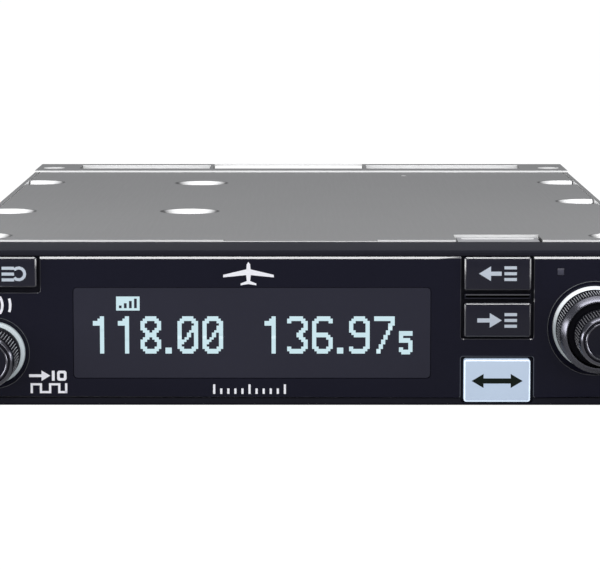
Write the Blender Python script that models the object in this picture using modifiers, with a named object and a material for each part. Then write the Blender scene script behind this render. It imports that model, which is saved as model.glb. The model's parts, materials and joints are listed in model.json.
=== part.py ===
"""A panel-mounted aviation band transceiver in its mounting tray.

The front panel is a moulded bezel with a glossy faceplate, a wide display, four keys, a volume knob and a
pair of concentric tuning knobs. Behind it a cast chassis carries the boards, and slides into a sheet tray.

Every size below is in millimetres, and MM turns it into Blender's metres. X runs across the panel, Y goes
back from the front rim of the bezel and Z goes up from the surface that the radio stands on. Moving pieces
hang from empties on their joints' axes.
"""

import math

import bmesh
import bpy

MM = 0.001

# ---------------------------------------------------------------- driving dimensions
PANEL_WIDTH = 160.0
PANEL_HEIGHT = 34.0
OVERALL_DEPTH = 271.0  # from the bezel's rim to the end of the aerial socket
KNOB_REACH = 22.8  # how far the tuning knob stands in front of the rim
WALL = 2.0  # moulded and cast walls
SHEET = 1.0  # folded sheet of the tray
GAP = 0.3  # between pieces that rest on each other
CLOSE_GAP = 0.05  # between flat faces that are glued or screwed together
PLATE_GAP = 0.4  # between the tray's top plate and its side walls
RUNNING_GAP = 0.1  # around a shaft that turns

# ---------------------------------------------------------------- front panel
BEZEL_DEPTH = 18.0
RIM_BEVEL = 0.5
POCKET_DEPTH = 1.5  # how far the faceplate is let into the bezel
FRONT_WALL_BACK = POCKET_DEPTH + WALL
FACE_SIDE = 78.3
FACE_LOW, FACE_HIGH = 1.8, 32.6
FACE_FRONT, FACE_BACK = -0.6, 1.2
FACE_BEVEL = 0.35
WINDOW_LEFT, WINDOW_RIGHT, WINDOW_LOW, WINDOW_HIGH = -49.4, 28.4, 6.0, 26.0

KEY_WIDTH = 14.4
KEY_FRONT, KEY_BACK = -1.4, 0.9
KEY_SIDE_ROOM = 0.7
KEYS = {  # name: (middle in X, bottom, top)
    "function": (-64.4, 26.05, 32.6),
    "recall": (42.8, 25.4, 32.6),
    "memory": (42.8, 15.2, 22.6),
    "swap": (42.8, 0.95, 10.2),
}
FUNCTION_RECESS_LOW = 24.8
MEMORY_RECESS_LOW = 14.7
SWAP_RECESS_LOW, SWAP_RECESS_HIGH = 0.55, 10.8
RIB_LOW, RIB_HIGH = 23.4, 24.6

VOLUME_X, VOLUME_Z = -66.7, 11.56
VOLUME_RECESS, VOLUME_RING = 7.7, 6.77
TUNING_X, TUNING_Z = 64.0, 17.0
TUNING_RECESS, TUNING_RING = 10.2, 9.3
SENSOR_X, SENSOR_Z, SENSOR_SIDE = 56.5, 29.4, 1.6
VOLUME_SHAFT, VOLUME_BUSH, VOLUME_FRONT = 2.0, 3.5, 15.2
TUNING_SHAFT, TUNING_TUBE, TUNING_BUSH = 1.7, 2.8, 4.2
OUTER_KNOB_FRONT, OUTER_KNOB_EDGE = 12.3, 11.0
LOCK_X, LOCK_Z = 70.0, 6.2
LOCK_ACCESS, ROD_RADIUS = 1.5, 1.8
PAW_FRONT, PAW_BACK, PAW_LENGTH = 60.0, 65.0, 5.6

BOARD = 1.6
CONTROL_BOARD_FRONT = 8.5
CONTROL_BOARD_SIDE = 72.0
CONTROL_BODY_FRONT, CONTROL_BODY_BACK = 4.0, 8.2
SCREW_Y, SCREW_TIP = 14.0, 70.5
SCREW_HEIGHTS = {"lower": 10.5, "upper": 25.5}

# ---------------------------------------------------------------- chassis
CHASSIS_SIDE = 74.5
CHASSIS_LOW, CHASSIS_HIGH = 2.2, 30.4
CHASSIS_FRONT, CHASSIS_BACK = 18.6, 252.0
COVER = 0.8
COVER_SCREW_X, COVER_SCREW_Y = 70.6, 232.0
MAIN_BOARD_LOW = 11.0
REAR = CHASSIS_BACK + GAP
DATA_X, AERIAL_X, SOCKET_Z = 22.0, 61.0, 17.0
AERIAL_THREAD = 4.8

# ---------------------------------------------------------------- tray
TRAY_FRONT, TRAY_BACK = 18.3, 236.1
TRAY_SIDE = 76.7
TRAY_HIGH = 34.4
STRIP_FRONT = 210.8
STRIP_HIGH = 34.95
STRIP_WINDOWS = ((-64.4, -26.6), (-25.6, 18.0), (19.0, 63.7))
WINDOW_FRONT, WINDOW_BACK = 219.0, 231.7
DISH_RADIUS, DISH_FLOOR_RADIUS, DISH_DEPTH = 7.1, 5.4, 1.4
DISHES = (
    (-72.5, 27.7),
    (72.5, 27.7),
    (-72.5, 89.0),
    (-27.4, 89.0),
    (72.5, 117.0),
    (-72.5, 176.3),
    (-27.4, 174.3),
    (72.5, 176.3),
)


# ================================================================ helpers
def clear_scene():
    for obj in list(bpy.data.objects):
        bpy.data.objects.remove(obj)


def new_collection(name):
    collection = bpy.data.collections.new(name)
    bpy.context.scene.collection.children.link(collection)
    return collection


def new_material(name, colour, roughness, metallic=0.0):
    material = bpy.data.materials.new(name)
    material.use_nodes = True
    shader = material.node_tree.nodes["Principled BSDF"]
    shader.inputs["Base Color"].default_value = (*colour, 1.0)
    shader.inputs["Roughness"].default_value = roughness
    shader.inputs["Metallic"].default_value = metallic
    return material


def new_empty(name, parent, x=0.0, y=0.0, z=0.0):
    """An empty at a place given from the parent's own origin, in millimetres."""
    empty = bpy.data.objects.new(name, None)
    PARTS.objects.link(empty)
    empty.parent = parent
    empty.location = (x * MM, y * MM, z * MM)
    return empty


def add_object(name, mesh, material, parent, place=(0, 0, 0), turn=(0, 0, 0)):
    """Puts a mesh in the parts' collection, or in the cutters' when it has no material."""
    obj = bpy.data.objects.new(name, mesh)
    if material is None:
        CUTTERS.objects.link(obj)
        obj.hide_render = True
        obj.display_type = "WIRE"
    else:
        PARTS.objects.link(obj)
        mesh.materials.append(material)
        mesh.shade_smooth()
        mesh.set_sharp_from_angle(angle=math.radians(30))
    obj.parent = parent
    obj.location = [value * MM for value in place]
    obj.rotation_euler = turn
    return obj


def mesh_of(bm, name):
    mesh = bpy.data.meshes.new(name)
    bm.to_mesh(mesh)
    bm.free()
    return mesh


def from_parent(parent, low, high):
    """The middle and size of a box, with its middle measured from the parent empty."""
    home = HOMES.get(parent.name, (0, 0, 0)) if parent else (0, 0, 0)
    middle = [(a + b) / 2 - h for a, b, h in zip(low, high, home)]
    return middle, [b - a for a, b in zip(low, high)]


def block(name, low, high, material, parent, corner=0.0, corner_axis="Y", bevel=0.0, bevel_end=None):
    """A box between two corners. corner rounds the edges along corner_axis, and bevel those of the end
    that faces bevel_end, such as "-Y"."""
    middle, size = from_parent(parent, low, high)
    bm = bmesh.new()
    bmesh.ops.create_cube(bm, size=1.0)
    bmesh.ops.scale(bm, vec=[side * MM for side in size], verts=bm.verts)
    if corner:
        axis = "XYZ".index(corner_axis)
        edges = [
            edge
            for edge in bm.edges
            if all(abs(edge.verts[0].co[k] - edge.verts[1].co[k]) < 1e-7 for k in range(3) if k != axis)
        ]
        bmesh.ops.bevel(
            bm, geom=edges, offset=corner * MM, segments=3, profile=0.5, affect="EDGES", material=-1
        )
    if bevel:
        axis, sign = "XYZ".index(bevel_end[1]), 1 if bevel_end[0] == "+" else -1
        limit = max(vert.co[axis] * sign for vert in bm.verts)
        edges = [e for e in bm.edges if all(v.co[axis] * sign > limit - 1e-7 for v in e.verts)]
        bmesh.ops.bevel(
            bm, geom=edges, offset=bevel * MM, segments=2, profile=0.5, affect="EDGES", material=-1
        )
    return add_object(name, mesh_of(bm, name), material, parent, middle)


TURNS = {  # a turned or round piece is made along its own +Z, which this turns to the named way
    "-Y": (math.pi / 2, 0, 0),
    "+Y": (-math.pi / 2, 0, 0),
    "+Z": (0, 0, 0),
    "-X": (0, -math.pi / 2, 0),
    "+X": (0, math.pi / 2, 0),
}


def home_place(parent, place):
    home = HOMES.get(parent.name, (0, 0, 0)) if parent else (0, 0, 0)
    return [a - b for a, b in zip(place, home)]


def rod(name, radius, start, length, way, material, parent, sides=24):
    """A cylinder from the point start, running length towards way."""
    bm = bmesh.new()
    bmesh.ops.create_cone(
        bm, cap_ends=True, segments=sides, radius1=radius * MM, radius2=radius * MM, depth=length * MM
    )
    bmesh.ops.translate(bm, verts=bm.verts, vec=(0, 0, length / 2 * MM))
    return add_object(name, mesh_of(bm, name), material, parent, home_place(parent, start), TURNS[way])


def turned(name, profile, start, way, material, parent, sides=32, closed=False):
    """A profile of (radius, height) points turned about its own Z. It runs down the outer side, and a closed
    one comes back up a bore."""
    mesh = bpy.data.meshes.new(name)
    points = [(radius * MM, 0, height * MM) for radius, height in profile]
    links = [(k, k + 1) for k in range(len(points) - 1)]
    if closed:
        links.append((len(points) - 1, 0))
    mesh.from_pydata(points, links, [])
    obj = add_object(name, mesh, material, parent, home_place(parent, start), TURNS[way])
    screw = obj.modifiers.new("turn", "SCREW")
    screw.axis = "Z"
    screw.steps = screw.render_steps = sides
    screw.use_merge_vertices = True
    screw.merge_threshold = 1e-6
    screw.use_smooth_shade = True
    return obj


def boolean(target, other, operation):
    modifier = target.modifiers.new(operation.lower(), "BOOLEAN")
    modifier.operation = operation
    modifier.object = other
    modifier.solver = "EXACT"


def cut(target, *cutters):
    for cutter in cutters:
        boolean(target, cutter, "DIFFERENCE")


def join(target, *others):
    for other in others:
        boolean(target, other, "UNION")


def cutting_block(low, high, parent, corner=0.0, corner_axis="Y"):
    return block("cut_block", low, high, None, parent, corner, corner_axis)


def cutting_rod(radius, start, length, way, parent, sides=24):
    return rod("cut_rod", radius, start, length, way, None, parent, sides)


# ================================================================ front panel
def key_box(name, grow=0.0):
    middle, low, high = KEYS[name]
    half = KEY_WIDTH / 2 + grow
    return middle - half, middle + half, low, high


def panel_cutters(front, back):
    """What goes through both the faceplate and the bezel's pocket: the recesses of the keys and the knobs."""
    above = PANEL_HEIGHT - 1.1
    cutters = []
    for name, low, high in (
        ("function", FUNCTION_RECESS_LOW, above),
        ("memory", MEMORY_RECESS_LOW, above),
        ("swap", SWAP_RECESS_LOW, SWAP_RECESS_HIGH),
    ):
        left, right, _, _ = key_box(name, KEY_SIDE_ROOM)
        cutters.append(cutting_block((left, front, low), (right, back, high), RADIO, 0.5))
    return cutters


def make_bezel():
    side = PANEL_WIDTH / 2
    bezel = block(
        "front_bezel", (-side, 0, 0), (side, BEZEL_DEPTH, PANEL_HEIGHT), BLACK_PLASTIC, RADIO,
        corner=1.2, bevel=RIM_BEVEL, bevel_end="-Y",
    )
    hollow = side - WALL
    pocket = FACE_SIDE + 0.2
    cut(
        bezel,
        cutting_block(
            (-hollow, FRONT_WALL_BACK, WALL), (hollow, BEZEL_DEPTH + 1, PANEL_HEIGHT - WALL), RADIO
        ),
        cutting_block((-pocket, -1, FACE_LOW - 0.2), (pocket, POCKET_DEPTH, FACE_HIGH + 0.2), RADIO, 0.8),
        cutting_block(
            (WINDOW_LEFT - 0.5, 0, WINDOW_LOW - 0.5), (WINDOW_RIGHT + 0.5, 5, WINDOW_HIGH + 0.5), RADIO
        ),
        cutting_rod(VOLUME_BUSH + GAP, (VOLUME_X, 0, VOLUME_Z), 5, "+Y", RADIO),
        cutting_rod(TUNING_BUSH + GAP, (TUNING_X, 0, TUNING_Z), 5, "+Y", RADIO),
        cutting_rod(LOCK_ACCESS, (LOCK_X, 0, LOCK_Z), 5, "+Y", RADIO, 16),
        cutting_rod(0.6, (SENSOR_X, 0, SENSOR_Z), 5, "+Y", RADIO, 12),
    )
    left, right, _, _ = key_box("swap", KEY_SIDE_ROOM)
    swap_low, swap_high = (left, -1, SWAP_RECESS_LOW), (right, POCKET_DEPTH, SWAP_RECESS_HIGH)
    cut(bezel, cutting_block(swap_low, swap_high, RADIO, 0.5))
    for name in KEYS:
        low, high = stem_box(name, 0.4)
        cut(bezel, cutting_block((low[0], 0, low[2]), (high[0], 5, high[2]), RADIO))
    left, right, _, _ = key_box("recall")
    join(bezel, block("rib_tool", (left, -0.9, RIB_LOW), (right, 2, RIB_HIGH), None, RADIO, 0.35, "X"))
    for sign in (-1, 1):
        way = "-X" if sign > 0 else "+X"
        for height in SCREW_HEIGHTS.values():
            start = side - 1
            length = start - CHASSIS_SIDE - GAP
            join(bezel, rod("boss_tool", 3.2, (sign * start, SCREW_Y, height), length, way, None, RADIO))
            outward = "+X" if sign > 0 else "-X"
            profile = screw_profile(RUNNING_GAP, side + 1)
            cut(bezel, turned("screw_hole", profile, (0, SCREW_Y, height), outward, None, RADIO, 16))
    return bezel


def screw_profile(room, top):
    """A countersunk M3 screw, or with room its hole, along +Z with its head flush with the panel's side."""
    side = PANEL_WIDTH / 2
    head, shank = 2.7 + room, 1.5 + room
    flush = side - 0.15 if room == 0 else top
    tip = SCREW_TIP - room
    return [(0, flush), (head, flush), (head, side - 0.45), (shank, side - 1.65), (shank, tip), (0, tip)]


def make_bezel_screws():
    for side_name, way in (("left", "-X"), ("right", "+X")):
        for height_name, height in SCREW_HEIGHTS.items():
            turned(
                f"bezel_screw_{side_name}_{height_name}", screw_profile(0, 0), (0, SCREW_Y, height), way,
                STEEL, RADIO, 16,
            )


def make_faceplate():
    plate = block(
        "faceplate", (-FACE_SIDE, FACE_FRONT, FACE_LOW), (FACE_SIDE, FACE_BACK, FACE_HIGH), GLOSS_BLACK,
        RADIO, corner=0.8, bevel=FACE_BEVEL, bevel_end="-Y",
    )
    cut(plate, *panel_cutters(-3, 3))
    cut(
        plate,
        cutting_block((WINDOW_LEFT, -3, WINDOW_LOW), (WINDOW_RIGHT, 3, WINDOW_HIGH), RADIO, 0.4),
        cutting_rod(VOLUME_RECESS, (VOLUME_X, -3, VOLUME_Z), 6, "+Y", RADIO, 32),
        cutting_rod(TUNING_RECESS, (TUNING_X, -3, TUNING_Z), 6, "+Y", RADIO, 32),
        cutting_rod(LOCK_ACCESS, (LOCK_X, -3, LOCK_Z), 6, "+Y", RADIO, 16),
        cutting_block(
            (SENSOR_X - SENSOR_SIDE / 2, -3, SENSOR_Z - SENSOR_SIDE / 2),
            (SENSOR_X + SENSOR_SIDE / 2, 3, SENSOR_Z + SENSOR_SIDE / 2), RADIO,
        ),
    )
    half = SENSOR_SIDE / 2 - CLOSE_GAP
    block(
        "sensor_window", (SENSOR_X - half, FACE_FRONT + 0.05, SENSOR_Z - half),
        (SENSOR_X + half, 1.0, SENSOR_Z + half), CLEAR, RADIO,
    )


def make_display():
    room = 0.1
    block(
        "display_lens", (WINDOW_LEFT + room, FACE_FRONT + 0.05, WINDOW_LOW + room),
        (WINDOW_RIGHT - room, 1.0, WINDOW_HIGH - room), CLEAR, RADIO, 0.35,
    )
    block(
        "display_module", (WINDOW_LEFT - 2.1, FRONT_WALL_BACK + 0.4, 4.3),
        (WINDOW_RIGHT + 2.1, 6.1, 27.7), DISPLAY_GLASS, RADIO,
    )
    left, right = WINDOW_LEFT - 3.6, WINDOW_RIGHT + 3.6
    holder = block("display_holder", (left, 6.4, 3.0), (right, 8.2, 29.0), BLACK_PLASTIC, RADIO)
    cut(holder, cutting_block((WINDOW_LEFT + 2, 5, 7.5), (WINDOW_RIGHT - 2, 9, 24.5), RADIO))


# ---------------------------------------------------------------- keys
def stem_box(name, grow=0.0):
    """The post that carries a key through the bezel's front wall."""
    left, right, low, high = key_box(name)
    low = max(low + 1.0, WALL + 0.5)
    high = min(high - 1.0, PANEL_HEIGHT - WALL - 0.6)
    return (left + 1.2 - grow, 0.5, low - grow), (right - 1.2 + grow, 4.0, high + min(grow, 0.4))


def make_key(name, material):
    left, right, low, high = key_box(name)
    middle = KEYS[name][0]
    home = new_home(f"{name}_key_slide", RADIO, (middle, KEY_FRONT, (low + high) / 2))
    key = block(
        f"{name}_key", (left, KEY_FRONT, low), (right, KEY_BACK, high), material, home,
        corner=0.4, bevel=0.3, bevel_end="-Y",
    )
    stem_low, stem_high = stem_box(name)
    stem = block("stem_tool", stem_low, stem_high, None, home)
    flange = block(
        "flange_tool", (stem_low[0] - 0.7, FRONT_WALL_BACK + GAP, stem_low[2] - 0.1),
        (stem_high[0] + 0.7, 4.4, stem_high[2] + 0.1), None, home,
    )
    join(key, stem, flange)
    pad_middle = (stem_low[2] + stem_high[2]) / 2
    pad_low, pad_high = (middle - 5, 4.7, pad_middle - 2.3), (middle + 5, 7.3, pad_middle + 2.3)
    pad = block(f"{name}_pad", pad_low, pad_high, SILICONE, home, 0.5)
    join(pad, rod("pill_tool", 1.6, (middle, 7.0, pad_middle), 0.9, "+Y", None, home, 16))
    return pad_middle


def make_keypad_sheet(name, names, left, right, low, high, pad_middles):
    sheet = block(name, (left, 7.7, low), (right, 8.35, high), SILICONE, RADIO, 0.8)
    for key in names:
        x, z = KEYS[key][0], pad_middles[key]
        cut(sheet, cutting_block((x - 5.6, 5, z - 2.8), (x + 5.6, 10, z + 2.8), RADIO))


def make_keys():
    materials = {"swap": ICE_PLASTIC}
    middles = {name: make_key(name, materials.get(name, GLOSS_BLACK)) for name in KEYS}
    right_keys = ["recall", "memory", "swap"]
    make_keypad_sheet("keypad_sheet_left", ["function"], -73.0, -56.0, 25.2, 31.8, middles)
    make_keypad_sheet("keypad_sheet_right", right_keys, 34.4, 51.4, 2.3, 31.8, middles)


# ---------------------------------------------------------------- knobs
def make_control_body(name, x, z, half, bush, bore):
    """The square body of a rotary control on the board, with the bush that its shaft turns in."""
    low, high = (x - half, CONTROL_BODY_FRONT, z - half), (x + half, CONTROL_BODY_BACK, z + half)
    body = block(name, low, high, GREY_METAL, RADIO)
    join(body, rod("bush_tool", bush, (x, 4.5, z), 4.9, "-Y", None, RADIO))
    cut(body, cutting_rod(bore + RUNNING_GAP, (x, -2, z), 12, "+Y", RADIO))


def make_light_ring(name, x, z, inner, outer):
    """The lit ring around a knob: a flat ring with a rounded outer shoulder."""
    turned(
        name,
        [(outer, -0.6), (outer, -1.2), (inner, -1.2), (inner, 0.4), (outer - 0.7, 0.4), (outer - 0.15, 0.0)],
        (x, 0, z), "-Y", ICE_PLASTIC, RADIO, 32, closed=True,
    )


def make_volume_control():
    x, z = VOLUME_X, VOLUME_Z
    make_control_body("volume_control", x, z, 5.5, VOLUME_BUSH, VOLUME_SHAFT)
    make_light_ring("volume_light_ring", x, z, 4.7, VOLUME_RING)
    push = new_home("volume_push", RADIO, (x, 0, z))
    rod("volume_plunger", VOLUME_SHAFT - 0.2, (x, 5.8, z), 1.8, "+Y", BRASS, push, 16)
    turn = new_home("volume_turn", push, (x, 0, z))
    shaft = rod("volume_shaft", VOLUME_SHAFT, (x, 5.5, z), 18.1, "-Y", GREY_METAL, turn)
    flat = VOLUME_SHAFT - 0.5
    cut(shaft, cutting_block((x - 3, -14, z + flat), (x + 3, -2.5, z + 4), turn))
    bore = VOLUME_SHAFT + RUNNING_GAP
    turned(
        "volume_knob",
        [
            (0, 14.7), (3.7, 14.7), (3.95, 15.0), (4.55, VOLUME_FRONT), (4.75, VOLUME_FRONT), (5.45, 14.2),
            (5.6, 13.6), (5.75, 5.0), (5.95, 4.2), (5.95, 1.4), (5.0, 1.4), (5.0, 2.6), (bore, 2.6),
            (bore, 12.9), (0, 12.9),
        ],
        (x, 0, z), "-Y", BLACK_PLASTIC, turn, 28,
    )


def make_tuning_control():
    x, z = TUNING_X, TUNING_Z
    make_control_body("tuning_encoder", x, z, 6.4, TUNING_BUSH, TUNING_TUBE)
    make_light_ring("tuning_light_ring", x, z, 6.2, TUNING_RING)
    outer = new_home("tuning_outer_turn", RADIO, (x, 0, z))
    inner_bore = TUNING_SHAFT + RUNNING_GAP
    turned(
        "tuning_sleeve",
        [(TUNING_TUBE, 10.0), (TUNING_TUBE, -5.4), (inner_bore, -5.4), (inner_bore, 10.0)],
        (x, 0, z), "-Y", GREY_METAL, outer, 24, closed=True,
    )
    bore = TUNING_TUBE + RUNNING_GAP
    turned(
        "tuning_outer_knob",
        [
            (6.9, OUTER_KNOB_FRONT), (8.3, OUTER_KNOB_EDGE), (8.4, 10.4), (8.6, 2.4), (8.6, 1.4), (7.4, 1.4),
            (7.4, 3.0), (bore, 3.0), (bore, 10.3), (6.6, 10.3), (6.6, OUTER_KNOB_FRONT - 0.2),
        ],
        (x, 0, z), "-Y", BLACK_PLASTIC, outer, 32, closed=True,
    )
    push = new_home("tuning_push", RADIO, (x, 0, z))
    rod("tuning_plunger", TUNING_SHAFT - 0.1, (x, 6.2, z), 1.4, "+Y", BRASS, push, 16)
    inner = new_home("tuning_inner_turn", push, (x, 0, z))
    rod("tuning_shaft", TUNING_SHAFT, (x, 5.9, z), 27.0, "-Y", GREY_METAL, inner)
    turned(
        "tuning_inner_knob",
        [
            (0, 22.2), (3.2, 22.2), (3.45, 22.5), (4.0, KNOB_REACH), (4.2, KNOB_REACH), (4.95, 21.8),
            (5.1, 21.3), (5.3, 13.0), (5.6, 12.2), (5.6, 11.1), (inner_bore, 11.1), (inner_bore, 21.3),
            (0, 21.3),
        ],
        (x, 0, z), "-Y", BLACK_PLASTIC, inner, 28,
    )


def make_control_board():
    board = block(
        "control_board", (-CONTROL_BOARD_SIDE, CONTROL_BOARD_FRONT, 2.4),
        (CONTROL_BOARD_SIDE, CONTROL_BOARD_FRONT + BOARD, 31.6), BOARD_GREEN, RADIO,
    )
    cut(board, cutting_rod(2.6, (LOCK_X, 5, LOCK_Z), 10, "+Y", RADIO, 16))
    join(
        board,
        block("chip_tool", (-40, 10.0, 8), (-26, 11.6, 22), None, RADIO),
        block("ribbon_socket_tool", (-13, 10.0, 21.4), (13, 13.2, 24.6), None, RADIO),
    )


# ================================================================ chassis
def make_chassis():
    side, low, high = CHASSIS_SIDE, CHASSIS_LOW, CHASSIS_HIGH
    chassis_low, chassis_high = (-side, CHASSIS_FRONT, low), (side, CHASSIS_BACK, high)
    chassis = block("chassis_frame", chassis_low, chassis_high, CAST_METAL, RADIO, 0.8)
    inner = side - WALL
    cut(
        chassis,
        cutting_block(
            (-inner, CHASSIS_FRONT + WALL, low + WALL), (inner, CHASSIS_BACK - WALL, high + 5), RADIO
        ),
        cutting_block((-14, 10, 19), (14, 25, 26.5), RADIO),
        cutting_block((LOCK_X - 5.9, PAW_FRONT - 1, 0), (LOCK_X + 2.0, PAW_BACK + 1, 6), RADIO),
        cutting_block((DATA_X - 20.5, 245, SOCKET_Z - 5), (DATA_X + 20.5, 255, SOCKET_Z + 5), RADIO),
        cutting_rod(AERIAL_THREAD + RUNNING_GAP, (AERIAL_X, 245, SOCKET_Z), 10, "+Y", RADIO),
    )
    ears = []
    for sign in (-1, 1):
        xs = sorted((sign * inner, sign * side))
        ears.append(block("ear_tool", (xs[0], 11.2, 4.6), (xs[1], CHASSIS_FRONT + 1, 29.4), None, RADIO))
    lug = block("lug_tool", (LOCK_X - 3.2, 68, low + 1), (side - 1, 71, LOCK_Z + 3.4), None, RADIO)
    join(chassis, *ears, lug)
    post_length = MAIN_BOARD_LOW - GAP - low - 1
    for x in (-66.0, 66.0):
        for y in (28.0, 240.0):
            join(chassis, rod("post_tool", 3.0, (x, y, low + 1), post_length, "+Z", None, RADIO, 16))
    cut(chassis, cutting_rod(ROD_RADIUS + RUNNING_GAP, (LOCK_X, 10, LOCK_Z), 70, "+Y", RADIO))
    for sign, way in ((-1, "-X"), (1, "+X")):
        for height in SCREW_HEIGHTS.values():
            cut(chassis, cutting_rod(1.5 + RUNNING_GAP, (sign * 70, SCREW_Y, height), 8, way, RADIO, 16))
        x, y = sign * COVER_SCREW_X, COVER_SCREW_Y
        join(chassis, rod("cover_post_tool", 2.6, (x, y, low + 1), high - low - 1, "+Z", None, RADIO, 16))
        cut(chassis, cutting_rod(1.3, (x, y, high - 7), 10, "+Z", RADIO, 16))


def make_top_cover():
    side, low = CHASSIS_SIDE + 0.8, CHASSIS_HIGH + GAP
    cover = block("top_cover", (-side, 20.0, low), (side, 251.0, low + COVER), TRAY_METAL, RADIO)
    for sign in (-1, 1):
        xs = sorted((sign * (side - 0.6), sign * side))
        join(cover, block("flange_tool", (xs[0], 20.0, 23.5), (xs[1], 251.0, low + 0.4), None, RADIO))
        place = (sign * COVER_SCREW_X, COVER_SCREW_Y, 0)
        profile = cover_screw_profile(RUNNING_GAP, low + COVER + 2)
        cut(cover, turned("cover_hole", profile, place, "+Z", None, RADIO, 16))
        name = "cover_screw_left" if sign < 0 else "cover_screw_right"
        turned(name, cover_screw_profile(0, low + COVER), place, "+Z", STEEL, RADIO, 16)


def cover_screw_profile(room, top):
    under, tip = CHASSIS_HIGH + GAP, CHASSIS_HIGH - 5
    head, shank = 2.2 + room, 1.2 + room * 0.5
    return [(0, top), (head, top), (head, under + 0.55), (shank, under), (shank, tip), (0, tip)]


def make_main_board():
    top = MAIN_BOARD_LOW + BOARD
    board = block("main_board", (-72.0, 23.0, MAIN_BOARD_LOW), (72.0, 246.0, top), BOARD_GREEN, RADIO)
    for sign in (-1, 1):
        cut(board, cutting_rod(3.2, (sign * COVER_SCREW_X, COVER_SCREW_Y, 5), 15, "+Z", RADIO, 16))
    join(
        board,
        block("socket_tool", (-13, 28, top - 0.5), (13, 32, top + 3.4), None, RADIO),
        block("processor_tool", (-34, 60, top - 0.5), (-14, 80, top + 1.6), None, RADIO),
        block("driver_tool", (-60, 200, top - 0.5), (-50, 214, top + 3), None, RADIO),
    )
    above = top + CLOSE_GAP
    rf_shield = block("rf_shield", (4, 120, above), (66, 200, above + 7), TIN_PLATE, RADIO, 1.0, "Z")
    cut(rf_shield, cutting_block((4.5, 120.5, 5), (65.5, 199.5, above + 6.5), RADIO))
    synth = block("synthesizer_shield", (6, 50, above), (50, 100, above + 6), TIN_PLATE, RADIO, 1.0, "Z")
    cut(synth, cutting_block((6.5, 50.5, 5), (49.5, 99.5, above + 5.5), RADIO))
    block("reference_oscillator", (56, 70, above), (66, 80, above + 5), TIN_PLATE, RADIO, 1.0, "Z")
    rod("supply_capacitor", 6.3, (-56, 150, above), 15, "+Z", CAPACITOR_SLEEVE, RADIO, 24)
    core = turned(
        "supply_choke",
        [(8.0, 8.0), (9.0, 7.0), (9.0, 1.0), (8.0, 0.0), (5.0, 0.0), (4.0, 1.0), (4.0, 7.0), (5.0, 8.0)],
        (-56, 175, above), "+Z", COPPER, RADIO, 24, closed=True,
    )
    core.data.shade_smooth()
    amplifier = block("power_amplifier", (-46, 232, above), (-16, 246, above + 6), BLACK_PLASTIC, RADIO)
    join(amplifier, block("tab_tool", (-52, 245, above), (-10, 249.4, above + 3), None, RADIO))


def make_flat_cable():
    """A folded flat cable from the control board, through the chassis wall, down to the main board."""
    route = [(13.6, 23.0), (18.0, 23.2), (23.0, 22.6), (27.0, 20.4), (29.4, 18.6), (30.0, 16.6)]
    bm = bmesh.new()
    verts = [bm.verts.new((-11 * MM, y * MM, z * MM)) for y, z in route]
    edges = [bm.edges.new(pair) for pair in zip(verts, verts[1:])]
    made = bmesh.ops.extrude_edge_only(bm, edges=edges)["geom"]
    moved = [v for v in made if isinstance(v, bmesh.types.BMVert)]
    bmesh.ops.translate(bm, verts=moved, vec=(22 * MM, 0, 0))
    cable = add_object("flat_cable", mesh_of(bm, "flat_cable"), CABLE_GREY, RADIO)
    solid = cable.modifiers.new("thickness", "SOLIDIFY")
    solid.thickness = 0.4 * MM
    solid.offset = 0


# ---------------------------------------------------------------- rear
def d_shape(name, half_width, half_height, front, back, material, parent):
    """The outline of a D connector: a rectangle whose lower side is a little narrower."""
    low = (DATA_X - half_width, front, SOCKET_Z - half_height)
    high = (DATA_X + half_width, back, SOCKET_Z + half_height)
    obj = block(name, low, high, material, parent)
    bottom = min(v.co.z for v in obj.data.vertices)
    for vert in obj.data.vertices:
        if vert.co.z < bottom + 1e-6:
            vert.co.x -= math.copysign(1.5 * MM, vert.co.x)
    bm = bmesh.new()
    bm.from_mesh(obj.data)
    along = [e for e in bm.edges if abs(e.verts[0].co.y - e.verts[1].co.y) > 1e-6]
    bmesh.ops.bevel(bm, geom=along, offset=1.6 * MM, segments=3, profile=0.5, affect="EDGES", material=-1)
    bm.to_mesh(obj.data)
    bm.free()
    return obj


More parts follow.
